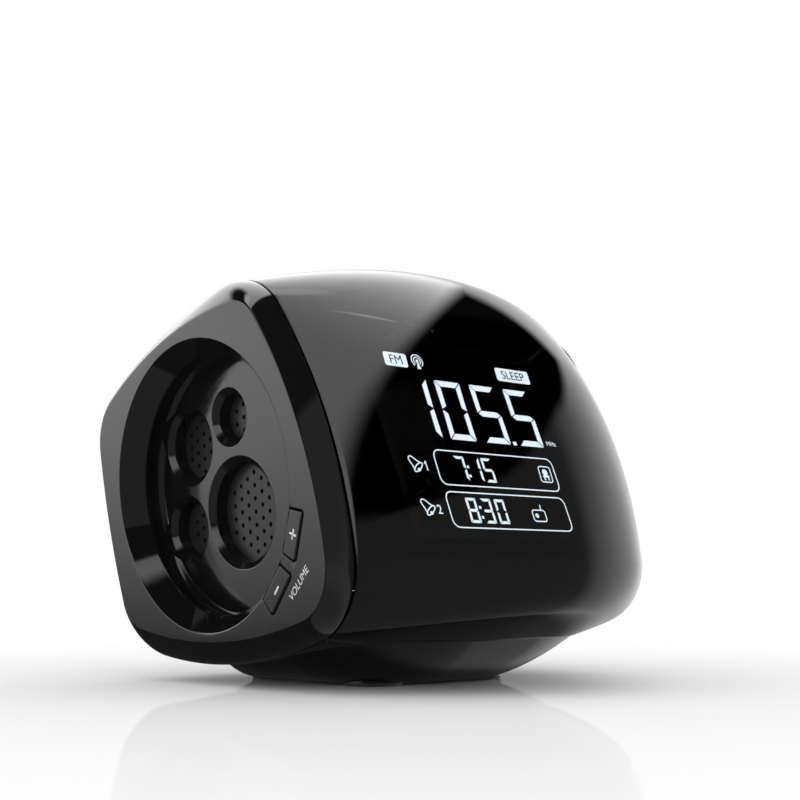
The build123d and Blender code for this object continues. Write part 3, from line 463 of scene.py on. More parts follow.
# %% Base and belly
def make_belly():
    """The tapered part between the skin and the feet."""
    under = skin_tree(-BELLY_SINK)
    foot_line = rounded_rectangle(*BELLY_FOOT, BELLY_FOOT_CORNER, steps=24,
                                  centre=(MID_X, BELLY_FOOT_Y))
    edge_line = rounded_rectangle(*BELLY_EDGE, BELLY_EDGE_CORNER, steps=24,
                                  centre=(MID_X, BELLY_EDGE_Y))
    rim = np.array([under.ray_cast(Vector((x, y, -BELOW_TABLE)), Vector((0, 0, 1)))[0]
                    for x, y in edge_line])
    bm = bmesh.new()
    rings = [flat_ring(foot_line, BELLY_FOOT_Z)]
    for share in BELLY_ROWS:
        ring = rings[0] + (rim - rings[0]) * share
        ring[:, 2] -= BELLY_FULL * 4 * share * (1 - share)
        rings.append(ring)
    rings += [rim, rim + (0, 0, BELLY_RIM_DEEP)]
    rows = loft(bm, rings)
    seats = []
    for sx in (-1, 1):
        for foot_y in (FOOT_Y_FRONT, FOOT_Y_REAR):
            seat = circle_points(FOOT_R + SEAT_GAP, 48, (MID_X + sx * FOOT_X, foot_y))
            seats.append(loft(bm, [flat_ring(seat, z) for z in (BELLY_FOOT_Z, BASE_Z + FOOT_SINK)]))
            bm.faces.new(seats[-1][-1])
    fill_between(bm, [rows[0]] + [seat[0] for seat in seats])
    bm.faces.new(rows[-1])
    made = finish_mesh(bm, "base_plinth")
    crease_shading(made)
    flat_normals(made)
    return made


base = make_shell("base_moulding", [LEFT_SEAM, RIGHT_SEAM, other_side(ABOVE_BASE),
                                    other_side(ABOVE_BASE_REAR)])
add_piece(base, "case", "case_gloss", "base_shell")
belly = make_belly()
add_piece(belly, "case", "case_gloss")
print("faces:", len(base.data.polygons), "in the base,", len(belly.data.polygons), "in the belly")

# %% [markdown]
# ## Key panel
# The slope behind the ridge is a panel of its own, with an opening round every key. It is the same
# skin again, and its openings are cut with booleans: the cutter is a plain prism through the wall,
# and the modifier keeps what lies outside it. To build the holes into the rings of the skin would
# need a ring along every edge of every hole.

# %% Places on the slope behind the ridge
KEYS = (("snooze_bar", 0.0, -6.0, 70.0, 13.0), ("power_key", -37.5, 10.0, 12.0, 8.0),
        ("source_key", -22.5, 10.0, 12.0, 8.0), ("tune_down_key", -7.5, 10.0, 12.0, 8.0),
        ("tune_up_key", 7.5, 10.0, 12.0, 8.0), ("alarm_1_key", 22.5, 10.0, 12.0, 8.0),
        ("alarm_2_key", 37.5, 10.0, 12.0, 8.0))
KEY_PROUD, KEY_CORNER, KEY_GAP, KEY_ROLL, KEY_SKIRT = 0.8, 1.8, 0.3, 0.7, 3.0
press = Vector(joints["snooze_press"]["axis"])
start, end = (np.array(MIDDLE.corners[i]) for i in (0, 3))
slope = (end - start) / np.linalg.norm(end - start)
slope_middle = (start + end) / 2 + np.array([-slope[1], slope[0]]) * MIDDLE.bulges[3]
SLOPE = Matrix.Translation((MID_X, AXIS_Y + slope_middle[0], AXIS_Z + slope_middle[1])) @ Matrix(
    ((1, 0, 0), (0, slope[0], -slope[1]), (0, slope[1], slope[0]))).to_4x4()
print("the slope's normal and the keys' travel agree:", round((-press).dot(SLOPE.col[2].xyz), 4))


# %% Dropping, prisms and booleans
def drape(tree, matrix, points, sink=0.0):
    """Drops flat points of a local frame onto a tree along the frame's z."""
    fall = -matrix.col[2].xyz
    landed = []
    for x, y in points:
        hit, _, _, _ = tree.ray_cast(matrix @ Vector((x, y, 40.0)), fall)
        landed.append(hit + fall * sink)
    return landed


def prism(name, matrix, points, low, high):
    bm = bmesh.new()
    rows = loft(bm, [[matrix @ Vector((x, y, z)) for x, y in points] for z in (low, high)])
    for row in rows:
        bm.faces.new(row)
    return finish_mesh(bm, name)


def evaluated_mesh(made):
    """The mesh as it is with all modifiers, or the mesh of a text."""
    bpy.context.view_layer.update()
    return bpy.data.meshes.new_from_object(made.evaluated_get(bpy.context.evaluated_depsgraph_get()))


def combine(made, tools, operation):
    """Boolean, applied at once so that the tools can go."""
    for tool in tools:
        boolean = made.modifiers.new("opening", "BOOLEAN")
        boolean.operation = operation
        boolean.solver = "EXACT"
        boolean.object = tool
    shaped = evaluated_mesh(made)
    made.modifiers.clear()
    made.data = shaped
    for tool in tools:
        bpy.data.objects.remove(tool)


print(f"keys stand {KEY_PROUD} mm proud, {KEY_GAP} mm clear of their openings")

# %% Key panel
panel = make_shell("key_panel_moulding", [LEFT_SEAM, RIGHT_SEAM, other_side(BEFORE_RIDGE), ABOVE_REAR])
combine(panel, [prism(f"hole_{name}", SLOPE, rounded_rectangle(
    width + 2 * KEY_GAP, height + 2 * KEY_GAP, KEY_CORNER + KEY_GAP, centre=(x, y)), -8, 8)
    for name, x, y, width, height in KEYS], "DIFFERENCE")
crease_shading(panel, 40)
add_piece(panel, "case", "case_gloss", "key_panel")
print("key panel:", len(KEYS), "openings,", len(panel.data.polygons), "faces")

# %% [markdown]
# ## Keys
# A key follows the bulge of the case, a little proud of it. Its rim rolls over, so that a finger
# and a highlight both slide off it. The rings of a rounded rectangle are dropped onto the skin,
# each a bit smaller and a bit higher than the one before.


# %% Key caps
def make_key(name, x, y, width, height, tree):
    bm = bmesh.new()
    rings = [drape(tree, SLOPE, rounded_rectangle(width, height, KEY_CORNER, centre=(x, y)), sink)
             for sink in (KEY_SKIRT, KEY_ROLL)]
    for turn in (0.25, 0.5, 0.75, 1.0):
        angle = turn * math.pi / 2
        inset = KEY_ROLL * (1 - math.cos(angle))
        points = rounded_rectangle(width - 2 * inset, height - 2 * inset, KEY_CORNER - inset,
                                   centre=(x, y))
        rings.append(drape(tree, SLOPE, points, KEY_ROLL * (1 - math.sin(angle))))
    for share in (0.9, 0.7, 0.4, 0.1):
        w, h = (width - 2 * KEY_ROLL) * share, (height - 2 * KEY_ROLL) * share
        points = rounded_rectangle(w, h, (KEY_CORNER - KEY_ROLL) * share, centre=(x, y))
        rings.append(drape(tree, SLOPE, points))
    rows = loft(bm, rings)
    bm.faces.new(rows[0])
    bm.faces.new(rows[-1])
    made = finish_mesh(bm, name.replace("key", "keycap") if "key" in name else name + "_cap")
    crease_shading(made, 50)
    return made


key_tree = skin_tree(KEY_PROUD)
for name, x, y, width, height in KEYS:
    body = "snooze" if name == "snooze_bar" else name.replace("_key", "")
    add_piece(make_key(name, x, y, width, height, key_tree), body, "key_gloss", name)
print(len(KEYS), "keys, each", KEY_SKIRT, "mm deep")

# %% [markdown]
# ## Rear cover
# It closes the back below the slope. Besides the two sockets and the four screw heads it has a
# slot for the drawer of the backup cell. All of them are plain openings straight through the
# wall, so they are cut in one go.

# %% Rear cover
TRAY_X, TRAY_Z, TRAY_W, TRAY_H = -14.0, 40.0, 24.0, 4.6
JACK_Z, SCREW_HEAD_R, OPENING_GAP, REAR_CUT = 38.0, 2.9, 0.15, (50, 90)
ROUND_OPENINGS = [(26.0, JACK_Z, 4.4), (8.0, JACK_Z, 3.2)] + [
    (x, z, SCREW_HEAD_R) for x in (-40.0, 40.0) for z in (33.0, 59.0)]
REARWARD = Matrix.Translation((MID_X, 0, 0)) @ Matrix(((1, 0, 0), (0, 0, 1), (0, 1, 0))).to_4x4()
rear = make_shell("rear_cover_moulding", [LEFT_SEAM, RIGHT_SEAM, other_side(BEFORE_RIDGE),
                                          other_side(ABOVE_REAR), ABOVE_BASE_REAR])
openings = [circle_points(radius + OPENING_GAP, 40, (x, z)) for x, z, radius in ROUND_OPENINGS]
openings.append(rounded_rectangle(TRAY_W + 2 * KEY_GAP, TRAY_H + 2 * KEY_GAP, 0.3,
                                  centre=(TRAY_X, TRAY_Z)))
rear_cutters = [prism("rear_opening", REARWARD, line, *REAR_CUT) for line in openings]
combine(rear, rear_cutters, "DIFFERENCE")
crease_shading(rear, 40)
add_piece(rear, "case", "case_gloss", "rear_cover")
print("rear cover:", len(openings), "openings,", len(rear.data.polygons), "faces")

# %% [markdown]
# ## End caps
# A cap is a dish-shaped moulding: a flat face, a flank that swells out to the seam, and a flared
# mouth in the middle. The edges between them are small roundings, and each one is a quadratic
# Bézier from ring to ring, because that suits every angle between face and flank. The face itself
# is one flat fill between its outer loop, the mouth and the two key holes. Weighted normals keep
# that fill flat in its shading right up to the roundings.

# %% Cap numbers
RIM_R, RING_R, RING_DEPTH, RING_LIP = 42.0, 37.6, 6.6, 1.2
CAP_WALL, BEHIND_LIP_R, MOUTH_STEPS = 2.4, 42.3, 160
FACE_EDGE, RIM_EDGE, LIP_EDGE, KEY_HOLE_EDGE = 0.4, 0.3, 0.25, 0.1
VOLUME_IN, VOLUME_OUT, VOLUME_SWEEP = 42.8, 48.5, 17.0
VOLUME_ANGLES = {"volume_up": -160.9, "volume_down": -139.6}
VOLUME_GAP, VOLUME_SLIM, VOLUME_CORNER, VOLUME_INNER_CORNER = 0.25, -0.2, 1.1, 0.35
VOLUME_PROUD, VOLUME_ROLL, VOLUME_DEPTH = 0.4, 0.5, 4.0
# The flank's rings crowd towards the face, where it widens fastest
FLANK_STEPS, FLANK_CROWD = 22, 1.3
ROLL_LEFT, INSIDE_DEPTHS = (0.22, 0.12, 0.05, 0.0), (7.0, 4.5)
print(f"mouth {2 * RIM_R} mm across, volume keys from radius {VOLUME_IN} to {VOLUME_OUT}")


# %% Roundings and the outline of a volume key
def rounding(first, corner, last, steps=4):
    """Quadratic Bezier between three rings, or three (radius, depth) pairs, corner in the middle."""
    first, corner, last = (np.asarray(ring, float) for ring in (first, corner, last))
    return [(1 - t) ** 2 * first + 2 * t * (1 - t) * corner + t * t * last
            for t in np.linspace(0, 1, steps + 1)]


def volume_outline(angle, grow):
    """Sector of a ring with soft corners, in the plane of the cap."""
    middle = (VOLUME_IN + VOLUME_OUT) / 2
    half = math.radians(VOLUME_SWEEP / 2) + grow / VOLUME_OUT
    corner, inner = max(VOLUME_CORNER + grow, 0.2), max(VOLUME_INNER_CORNER + grow, 0.1)
    flat = rounded_rectangle(VOLUME_OUT - VOLUME_IN + 2 * grow, 2 * half * middle, corner, steps=8,
                             inner=inner)
    radius = middle + flat[:, 0]
    turn = math.radians(angle) + flat[:, 1] / middle
    return np.stack([np.cos(turn), np.sin(turn)], 1) * radius[:, None]


print(len(volume_outline(0.0, 0.0)), "points round a volume key")


# %% Cap rings
def cap_flank(side):
    """Rings down the outside of a cap, from its face to the seam, and back up its inside."""
    face_edge = rounding(on_cap(outline_points(flank_outline(0, side), -FACE_EDGE), 0, side),
                         on_cap(outline_points(flank_outline(0, side)), 0, side),
                         on_cap(outline_points(flank_outline(FACE_EDGE, side)), FACE_EDGE, side))
    shares = np.linspace(0, 1, FLANK_STEPS) ** FLANK_CROWD
    depths = FACE_EDGE + (SEAM_DEPTH - SEAM_GAP - EDGE_ROLL - FACE_EDGE) * shares
    flank = [on_cap(outline_points(flank_outline(depth, side)), depth, side) for depth in depths[1:]]
    end = SEAM_DEPTH - SEAM_GAP
    roll = [on_cap(outline_points(flank_outline(end - left, side), -roll_depth(left)), end - left, side)
            for left in ROLL_LEFT]
    inside = [on_cap(outline_points(flank_outline(depth, side), -CAP_WALL), depth, side)
              for depth in (end, *INSIDE_DEPTHS, CAP_WALL)]
    return face_edge + flank + roll + inside


def cap_mouth(side):
    """Rings of the flared mouth and of the lip at its end."""
    lip = RING_DEPTH + RING_LIP
    flare = (RIM_R - RING_R) / RING_DEPTH
    profile = rounding((RIM_R + RIM_EDGE, 0), (RIM_R, 0), (RIM_R - flare * RIM_EDGE, RIM_EDGE))
    profile += rounding((RING_R + flare * LIP_EDGE, RING_DEPTH - LIP_EDGE), (RING_R, RING_DEPTH),
                        (RING_R, RING_DEPTH + LIP_EDGE))
    profile += [(RING_R, lip - 0.1), (RING_R + 0.1, lip), (BEHIND_LIP_R, lip), (BEHIND_LIP_R, CAP_WALL)]
    return [on_cap(circle_points(r, MOUTH_STEPS), depth, side) for r, depth in profile]


print("rings of a cap:", len(cap_flank(-1)), "round the flank,", len(cap_mouth(-1)), "in the mouth")


# %% Cap mesh
def make_cap(name, side, key_angles):
    bm = bmesh.new()
    shell = loft(bm, cap_flank(side))
    mouth = loft(bm, cap_mouth(side))
    holes = []
    for angle in key_angles:
        top, full = VOLUME_GAP + KEY_HOLE_EDGE, VOLUME_GAP
        rings = rounding(on_cap(volume_outline(angle, top), 0, side),
                         on_cap(volume_outline(angle, full), 0, side),
                         on_cap(volume_outline(angle, full), KEY_HOLE_EDGE, side), steps=2)
        rings.append(on_cap(volume_outline(angle, full), CAP_WALL, side))
        holes.append(loft(bm, rings))
    fill_between(bm, [shell[0], mouth[0]] + [hole[0] for hole in holes])
    fill_between(bm, [shell[-1], mouth[-1]] + [hole[-1] for hole in holes])
    made = finish_mesh(bm, name)
    crease_shading(made)
    flat_normals(made)
    return made


left_cap = make_cap("left_cap_moulding", -1, VOLUME_ANGLES.values())
add_piece(left_cap, "case", "cap_gloss", "left_end_cap")
right_cap = make_cap("right_cap_moulding", 1, [])
add_piece(right_cap, "case", "cap_gloss", "right_end_cap")
print("faces:", len(left_cap.data.polygons), "in the left cap,", len(right_cap.data.polygons), "right")

# %% [markdown]
# ## Volume keys
# Two sectors of a ring that lie in the face beside the mouth. Their edges are well rounded, which
# is what separates them from the face: the rounding picks up another part of the room.


# %% Volume keys
def make_volume_key(name, angle):
    bm = bmesh.new()
    rings = [on_cap(volume_outline(angle, VOLUME_SLIM), depth)
             for depth in (VOLUME_DEPTH, VOLUME_ROLL - VOLUME_PROUD)]
    rings += rounding(rings[-1], on_cap(volume_outline(angle, VOLUME_SLIM), -VOLUME_PROUD),
                      on_cap(volume_outline(angle, VOLUME_SLIM - VOLUME_ROLL), -VOLUME_PROUD))[1:]
    rows = loft(bm, rings)
    bm.faces.new(rows[0])
    bm.faces.new(rows[-1])
    made = finish_mesh(bm, name)
    crease_shading(made, 50)
    flat_normals(made)
    return made


for body, angle in VOLUME_ANGLES.items():
    add_piece(make_volume_key(f"{body}_keycap", angle), body, "key_gloss", f"{body}_button")
print("volume keys at", list(VOLUME_ANGLES.values()), "degrees")

# %% [markdown]
# ## The speaker cup
# The cup behind the mouth is a real turned form with a soft corner between wall and floor. Four
# ports with bevelled mouths go through its floor. One of them reaches the soft corner, so the
# ports are cut with booleans: the cutter's profile holds the bevel and its rounded outer edge.

# %% Cup numbers
BOWL_R, BOWL_DEPTH, BOWL_WALL, BOWL_FLOOR, BOWL_FILLET = 40.2, 14.7, 1.8, 2.0, 3.0
PORTS = {"large": (0.0, -8.5, 16.6), "upper": (24.7, 12.5, 12.2),
         "small": (3.5, 19.7, 8.8), "lower": (27.2, -12.6, 10.2)}
PORT_BEVEL, PORT_BEVEL_DEEP, PORT_WALL, PORT_LENGTH = 2.0, 1.6, 1.3, 5.5
PORT_FLARE, PORT_STEPS, CUP_STEPS, ABOVE_CUP_FLOOR = 0.2, 96, 144, 9.0
GRILLE_DEPTH = BOWL_DEPTH + PORT_LENGTH
POST_R, POST_AT, POST_ANGLES, SPEAKER_DEPTH = 2.0, 36.7, (70, 150, 218, 286), 24.3
print(f"cup {2 * BOWL_R} mm across and {BOWL_DEPTH} deep, ports:", sorted(PORTS))


def turned(name, profile, centre=(0.0, 0.0), count=CUP_STEPS):
    """Closed form turned about an axis of the left cap, from (radius, depth) pairs."""
    bm = bmesh.new()
    rows = loft(bm, [on_cap(circle_points(r, count, centre), depth) for r, depth in profile])
    bm.faces.new(rows[0])
    bm.faces.new(rows[-1])
    return finish_mesh(bm, name)


# %% Cup
def make_cup():
    floor, back = BOWL_DEPTH, BOWL_DEPTH + BOWL_FLOOR
    fillet = [(BOWL_R - BOWL_FILLET + BOWL_FILLET * math.sin(a),
               floor - BOWL_FILLET + BOWL_FILLET * math.cos(a))
              for a in np.linspace(0, math.pi / 2, 12)]
    mouth = RING_DEPTH + RING_LIP + 0.05
    made = turned("speaker_cup", [*fillet, (BOWL_R, mouth), (BOWL_R + BOWL_WALL, mouth),
                                  (BOWL_R + BOWL_WALL, back)])
    adds, cuts = [], []
    fall, bevel_end = PORT_FLARE * PORT_BEVEL_DEEP / PORT_BEVEL, floor + PORT_BEVEL_DEEP
    for port, (y, z, radius) in PORTS.items():
        bore = radius - PORT_BEVEL
        tube = [(bore + PORT_WALL, back - 1), (bore + PORT_WALL, GRILLE_DEPTH - 0.05)]
        adds.append(turned(f"tube_{port}", tube, (y, z), PORT_STEPS))
        edge = rounding((radius + PORT_FLARE, floor), (radius, floor), (radius - PORT_FLARE, floor + fall))
        inner = rounding((bore + PORT_FLARE, bevel_end - fall), (bore, bevel_end),
                         (bore, bevel_end + PORT_FLARE))
        hole = [(radius + PORT_FLARE, ABOVE_CUP_FLOOR), *edge, *inner, (bore, GRILLE_DEPTH + 1)]
        cuts.append(turned(f"port_{port}", hole, (y, z), PORT_STEPS))
    for angle in POST_ANGLES:
        place = (POST_AT * math.cos(math.radians(angle)), POST_AT * math.sin(math.radians(angle)))
        adds.append(turned(f"post_{angle}", [(POST_R, back - 1), (POST_R, SPEAKER_DEPTH)], place, 24))
    combine(made, adds, "UNION")
    combine(made, cuts, "DIFFERENCE")
    crease_shading(made, 28)
    flat_normals(made)
    return made


cup = make_cup()
add_piece(cup, "case", "cup_satin", "speaker_dish")
print("cup:", len(cup.data.polygons), "faces,", len(PORTS), "ports")

# %% [markdown]
# ## What the display shows
# The display lies well behind the front and leans back. Its lit marks are flat shapes on the
# glass: bars for the digits, thin strokes for frames and little pictures, and lettering. All of
# them are drawn flat first, as lists of points and faces, and a `place` function then sets the
# points in space. The same shapes can so be put on a plane or dropped onto a curved key.

# %% Flat shapes
Shape = namedtuple("Shape", "points faces")


def polygon(points):
    return Shape(np.asarray(points, float), [tuple(range(len(points)))])


def box_shape(x, y, width, height, corner=0.01, lean=0.0):
    points = rounded_rectangle(width, height, corner, steps=5)
    points[:, 0] += points[:, 1] * lean
    return polygon(points + (x, y))


def disc_shape(x, y, radius):
    return polygon(circle_points(radius, 20, (x, y)))


print("a disc has", len(disc_shape(0.0, 0.0, 1.0).points), "corners")


# %% Strokes
def stroke(points, width, closed=False):
    """A line of even width through points, with mitred corners."""
    points = np.asarray(points, float)
    after = np.roll(points, -1, 0) - points
    before = points - np.roll(points, 1, 0)
    if not closed:
        after[-1], before[0] = before[-1], after[0]
    sides = []
    for run in (before, after):
        unit = run / np.linalg.norm(run, axis=1)[:, None]
        sides.append(np.stack([-unit[:, 1], unit[:, 0]], 1))
    mitre = (sides[0] + sides[1]) / (1 + (sides[0] * sides[1]).sum(1))[:, None]
    count = len(points)
    ends = count if closed else count - 1
    faces = [(i, (i + 1) % count, count + (i + 1) % count, count + i) for i in range(ends)]
    return Shape(np.concatenate([points - mitre * width / 2, points + mitre * width / 2]), faces)


def frame_shape(x, y, width, height, corner, line, lean=0.0):
    points = rounded_rectangle(width, height, corner, steps=6)
    points[:, 0] += points[:, 1] * lean
    return stroke(points + (x, y), line, closed=True)


def arc_shape(x, y, radius, start, end, line):
    angles = np.radians(np.linspace(start, end, 16))
    return stroke(np.stack([np.cos(angles), np.sin(angles)], 1) * radius + (x, y), line)


print("a frame is", len(frame_shape(0.0, 0.0, 10.0, 5.0, 1.0, 0.4).faces), "short bars")


# %% Lettering
def rotation(turn):
    """Turns rows of points to the left by an angle, when they are multiplied by it."""
    return np.array([(math.cos(turn), math.sin(turn)), (-math.sin(turn), math.cos(turn))])


def words(text, height, x, y, turn=0.0, shear=0.0):
    """Lettering with its middle at x, y; height is that of its capitals."""
    curve = bpy.data.curves.new("lettering", "FONT")
    curve.body = text
    curve.shear = shear
    carrier = new_object("lettering", curve)
    mesh = evaluated_mesh(carrier)
    points = np.array([vert.co[:2] for vert in mesh.vertices])
    faces = [tuple(face.vertices) for face in mesh.polygons]
    bpy.data.objects.remove(carrier)
    low, high = points.min(0), points.max(0)
    points = (points - (low + high) / 2) * height / (high[1] - low[1])
    return Shape(points @ rotation(turn) + (x, y), faces)


print("a V has", len(words("V", 1.0, 0, 0).faces), "faces")


# %% From flat shapes to pieces
def on_plane(matrix, lift):
    return lambda points: [matrix @ Vector((x, y, lift)) for x, y in points]


def make_marks(name, shapes, place, thickness=0.04):
    bm = bmesh.new()
    for shape in shapes:
        verts = [bm.verts.new(Vector(point) * MM) for point in place(shape.points)]
        for face in shape.faces:
            bm.faces.new([verts[i] for i in face])
    made = finish_mesh(bm, name, weld=1e-9, recalculate=False)
    wall_behind(made, thickness)
    return made


print("(2, 3) lifted by 1 lands at", on_plane(Matrix.Identity(4), 1.0)([(2.0, 3.0)])[0])


# %% [markdown]
# ### Seven-bar digits
# The bars of such a digit end in mitres and points, with a thin gap where they meet. A leaning
# digit is the same digit with every point moved sideways by its height.

# %% Digits
BARS = {"0": "abcdef", "1": "bc", "3": "abcdg", "5": "acdfg", "7": "abc", "8": "abcdefg"}
DIGIT_LEAN = 0.045


def digit(sign, x, y, width, height, bar, gap):
    """Bars of a digit whose lower left corner is at x, y."""
    half, cut, tip = height / 2, gap * 0.7, bar / 2
    upper_right = [(width, height - cut), (width - bar, height - bar - cut),
                   (width - bar, half + tip + cut), (width - tip * 0.2, half + cut)]
    top = [(cut, height), (width - cut, height), (width - bar - cut, height - bar),
           (bar + cut, height - bar)]
    middle = [(cut + tip * 0.4, half), (bar, half + tip), (width - bar, half + tip),
              (width - cut - tip * 0.4, half), (width - bar, half - tip), (bar, half - tip)]

    def flipped(points, across, down):
        return [(width - px if across else px, height - py if down else py) for px, py in points]

    shapes = {"a": top, "b": upper_right, "c": flipped(upper_right, False, True),
              "d": flipped(top, False, True), "e": flipped(upper_right, True, True),
              "f": flipped(upper_right, True, False), "g": middle}
    return [polygon([(x + px + py * DIGIT_LEAN, y + py) for px, py in shapes[bar_name]])
            for bar_name in BARS[sign]]


def number(text, places, y, width, height, bar, gap):
    return [shape for sign, x in zip(text, places)
            for shape in digit(sign, x, y, width, height, bar, gap)]


print("an 8 has", len(digit("8", 0, 0, 4.0, 8.0, 1.0, 0.2)), "bars")

# %% [markdown]
# ### The frame round the glass
# A black frame covers the rim of the display's glass and stands on four legs. Its opening is where
# the lit area ends. It is lofted once round the glass, along the outline of its section. Each leg
# is a rod that reaches forward until it meets the inside of the shell, and the upper two stand
# closer together, so that they don't cross the marks in the display's corners.

# %% Display frame
LCD_LEAN, LCD_Y, LCD_Z = math.radians(25.0), -35.0, 69.7
LCD = Matrix.Translation((MID_X, LCD_Y, LCD_Z)) @ Matrix(
    ((1, 0, 0), (0, math.sin(LCD_LEAN), -math.cos(LCD_LEAN)),
     (0, math.cos(LCD_LEAN), math.sin(LCD_LEAN)))).to_4x4()
LCD_W, LCD_H, FRAME_BORDER, FRAME_DEPTH, FRAME_LIP, FRAME_COVER = 80.0, 60.0, 2.0, 10.0, 0.8, 0.8
FRAME_LEGS, LEG_R = ((-40.0, -20.0), (40.0, -20.0), (-30.0, 31.0), (30.0, 31.0)), 1.0
FRAME_CORNER, GLASS_GAP, GLASS_FRONT, SHELL_GAP = 0.6, 0.15, 0.05, 0.3


def make_display_frame():
    """Frame round the display glass, with four legs that reach forward to the shell."""
    bm = bmesh.new()
    outer, opening, pocket = (rounded_rectangle(LCD_W + 2 * grow, LCD_H + 2 * grow, FRAME_CORNER)
                              for grow in (FRAME_BORDER, -FRAME_COVER, GLASS_GAP))
    rings = [flat_ring(line, z) for line, z in (
        (outer, -FRAME_DEPTH), (outer, FRAME_LIP), (opening, FRAME_LIP), (opening, GLASS_FRONT),
        (pocket, GLASS_FRONT), (pocket, -FRAME_DEPTH), (outer, -FRAME_DEPTH))]
    loft(bm, [[LCD @ Vector(point) for point in ring] for ring in rings])
    wall = skin_tree(-SHELL_WALL - SHELL_GAP)
    ahead = LCD.col[2].xyz
    for x, y in FRAME_LEGS:
        reach = wall.ray_cast(LCD @ Vector((x, y, 0)), ahead)[3]
        rows = loft(bm, [[LCD @ Vector((px, py, z)) for px, py in circle_points(LEG_R, 20, (x, y))]
                         for z in (0.3, reach)])
        for row in rows:
            bm.faces.new(row)
    made = finish_mesh(bm, "display_frame", weld=1e-6)
    crease_shading(made)
    return made


add_piece(make_display_frame(), "case", "inner_plastic", "lcd_frame")
print("display frame:", LCD_W + 2 * FRAME_BORDER, "by", LCD_H + 2 * FRAME_BORDER, "mm")

# %% [markdown]
# ### The lit marks
# The main row shows a frequency, and the two framed rows show the alarms, each with its bell and
# with a mark for what wakes the sleeper: a buzzer or the radio. Two tags have their letters left
# out of a lit plate. The letters are laid on the plate as dark shapes, which is simpler than to
# cut them out and looks the same.

# %% Pictures on the display
LINE, SMALL_LINE, WAVE_LINE = 0.37, 0.36, 0.34


def bell(x, y, turn=math.radians(-52)):
    """Outline of a tilted bell with its clapper; the tip is at x, y."""
    side = [(0.0, 0.0), (0.15, 0.55), (0.8, 0.95), (2.2, 1.25), (3.2, 1.6), (4.0, 2.2)]
    outline = [(u, -v) for u, v in reversed(side[1:])] + side
    mouth = [(4.0 + 0.75 * math.cos(a), 2.2 * math.sin(a))
             for a in np.linspace(0, 2 * math.pi, 24)[:-1]]
    return [stroke(np.array(outline) @ rotation(turn) + (x, y), SMALL_LINE),
            stroke(np.array(mouth) @ rotation(turn) + (x, y), SMALL_LINE, closed=True),
            polygon(circle_points(0.55, 12, (4.6, -0.5)) @ rotation(turn) + (x, y))]


def aerial(x, y):
    """A mast that sends out two waves."""
    mast = np.array([(0.15, -0.2), (0.75, -2.7), (-0.75, -2.7), (-0.15, -0.2)])
    waves = [arc_shape(x, y, radius, -50, 230, WAVE_LINE) for radius in (1.25, 2.1)]
    return waves + [disc_shape(x, y, 0.5), polygon(mast + (x, y))]


def buzzer(x, y):
    """A buzzer on two feet, in a box."""
    return [frame_shape(x, y, 5.0, 5.2, 0.9, SMALL_LINE, 0.1), disc_shape(x, y + 0.6, 1.1),
            box_shape(x, y - 0.7, 2.6, 0.7), box_shape(x - 0.8, y - 1.5, 0.5, 1.0),
            box_shape(x + 0.8, y - 1.5, 0.5, 1.0)]


def radio(x, y):
    """A small radio with its aerial out."""
    return [frame_shape(x, y, 5.4, 3.6, 0.9, SMALL_LINE, 0.08), disc_shape(x - 1.0, y, 0.7),
            stroke([(x + 1.3, y + 1.8), (x + 1.7, y + 3.6)], SMALL_LINE)]


print("a bell has", sum(len(shape.faces) for shape in bell(0.0, 0.0)), "faces")

# %% Lit marks
# Rows: signs, the x of each sign's lower left corner, their y, then width, height, bar and gap
MAIN_ROW = ("1055", (-29.2, -15.7, -1.5, 12.9), -0.4, 10.2, 19.6, 1.9, 0.34)
FIRST_ALARM = ("715", (-17.9, -12.0, -7.1), -13.7, 4.0, 7.8, 0.85, 0.2)
SECOND_ALARM = ("830", (-18.9, -13.0, -7.6), -26.8, 4.0, 7.7, 0.85, 0.2)
ALARM_FRAMES, FRAME_H, FRAME_ROUND = ((-0.8, -9.8, 48.7), (-1.6, -22.9, 48.5)), 10.9, 2.3
DOT, DOTS = 0.85, ((-12.9, -9.1), (-13.1, -12.0), (-13.6, -21.9), (-13.8, -25.0))
TAGS = (("FM", -27.4, 24.7, 8.8, 4.6), ("SLEEP", 20.8, 24.5, 14.6, 4.7))
TAG_CORNER, TAG_SLANT, TAG_LETTERS = 0.8, 0.08, 2.9

marks = number(*MAIN_ROW)
marks += [box_shape(10.6, 0.1, 1.4, 1.2), words("MHz", 1.5, 27.0, 1.2)]
marks += [box_shape(*place, TAG_CORNER, TAG_SLANT) for _, *place in TAGS]
marks += [frame_shape(x, y, width, FRAME_H, FRAME_ROUND, LINE, 0.05) for x, y, width in ALARM_FRAMES]
marks += number(*FIRST_ALARM) + number(*SECOND_ALARM)
marks += [box_shape(x, y, DOT, DOT) for x, y in DOTS]
marks += bell(-34.8, -7.2) + bell(-35.4, -20.4)
marks += [stroke([(-29.8, -9.1), (-29.1, -8.5), (-29.1, -11.2)], SMALL_LINE)]
marks += [words("2", 2.7, -29.6, -23.1)]
marks += aerial(-18.9, 25.2) + buzzer(19.2, -9.7) + radio(9.9, -23.7)
display_marks = make_marks("display_marks", marks, on_plane(LCD, 0.12))
add_piece(display_marks, "case", "display_glass")
letters = [words(text, TAG_LETTERS, x, y) for text, x, y, *_ in TAGS]
tag_letters = make_marks("display_tag_letters", letters, on_plane(LCD, 0.2))
add_piece(tag_letters, "case", "display_glass")
print(len(marks), "lit shapes and", len(letters), "dark words")

# %% [markdown]
# ## Printed legends
# The plus and minus on the volume keys and the word beside them are white print. So are the
# legends on the slope, which follow the bulge of their keys.

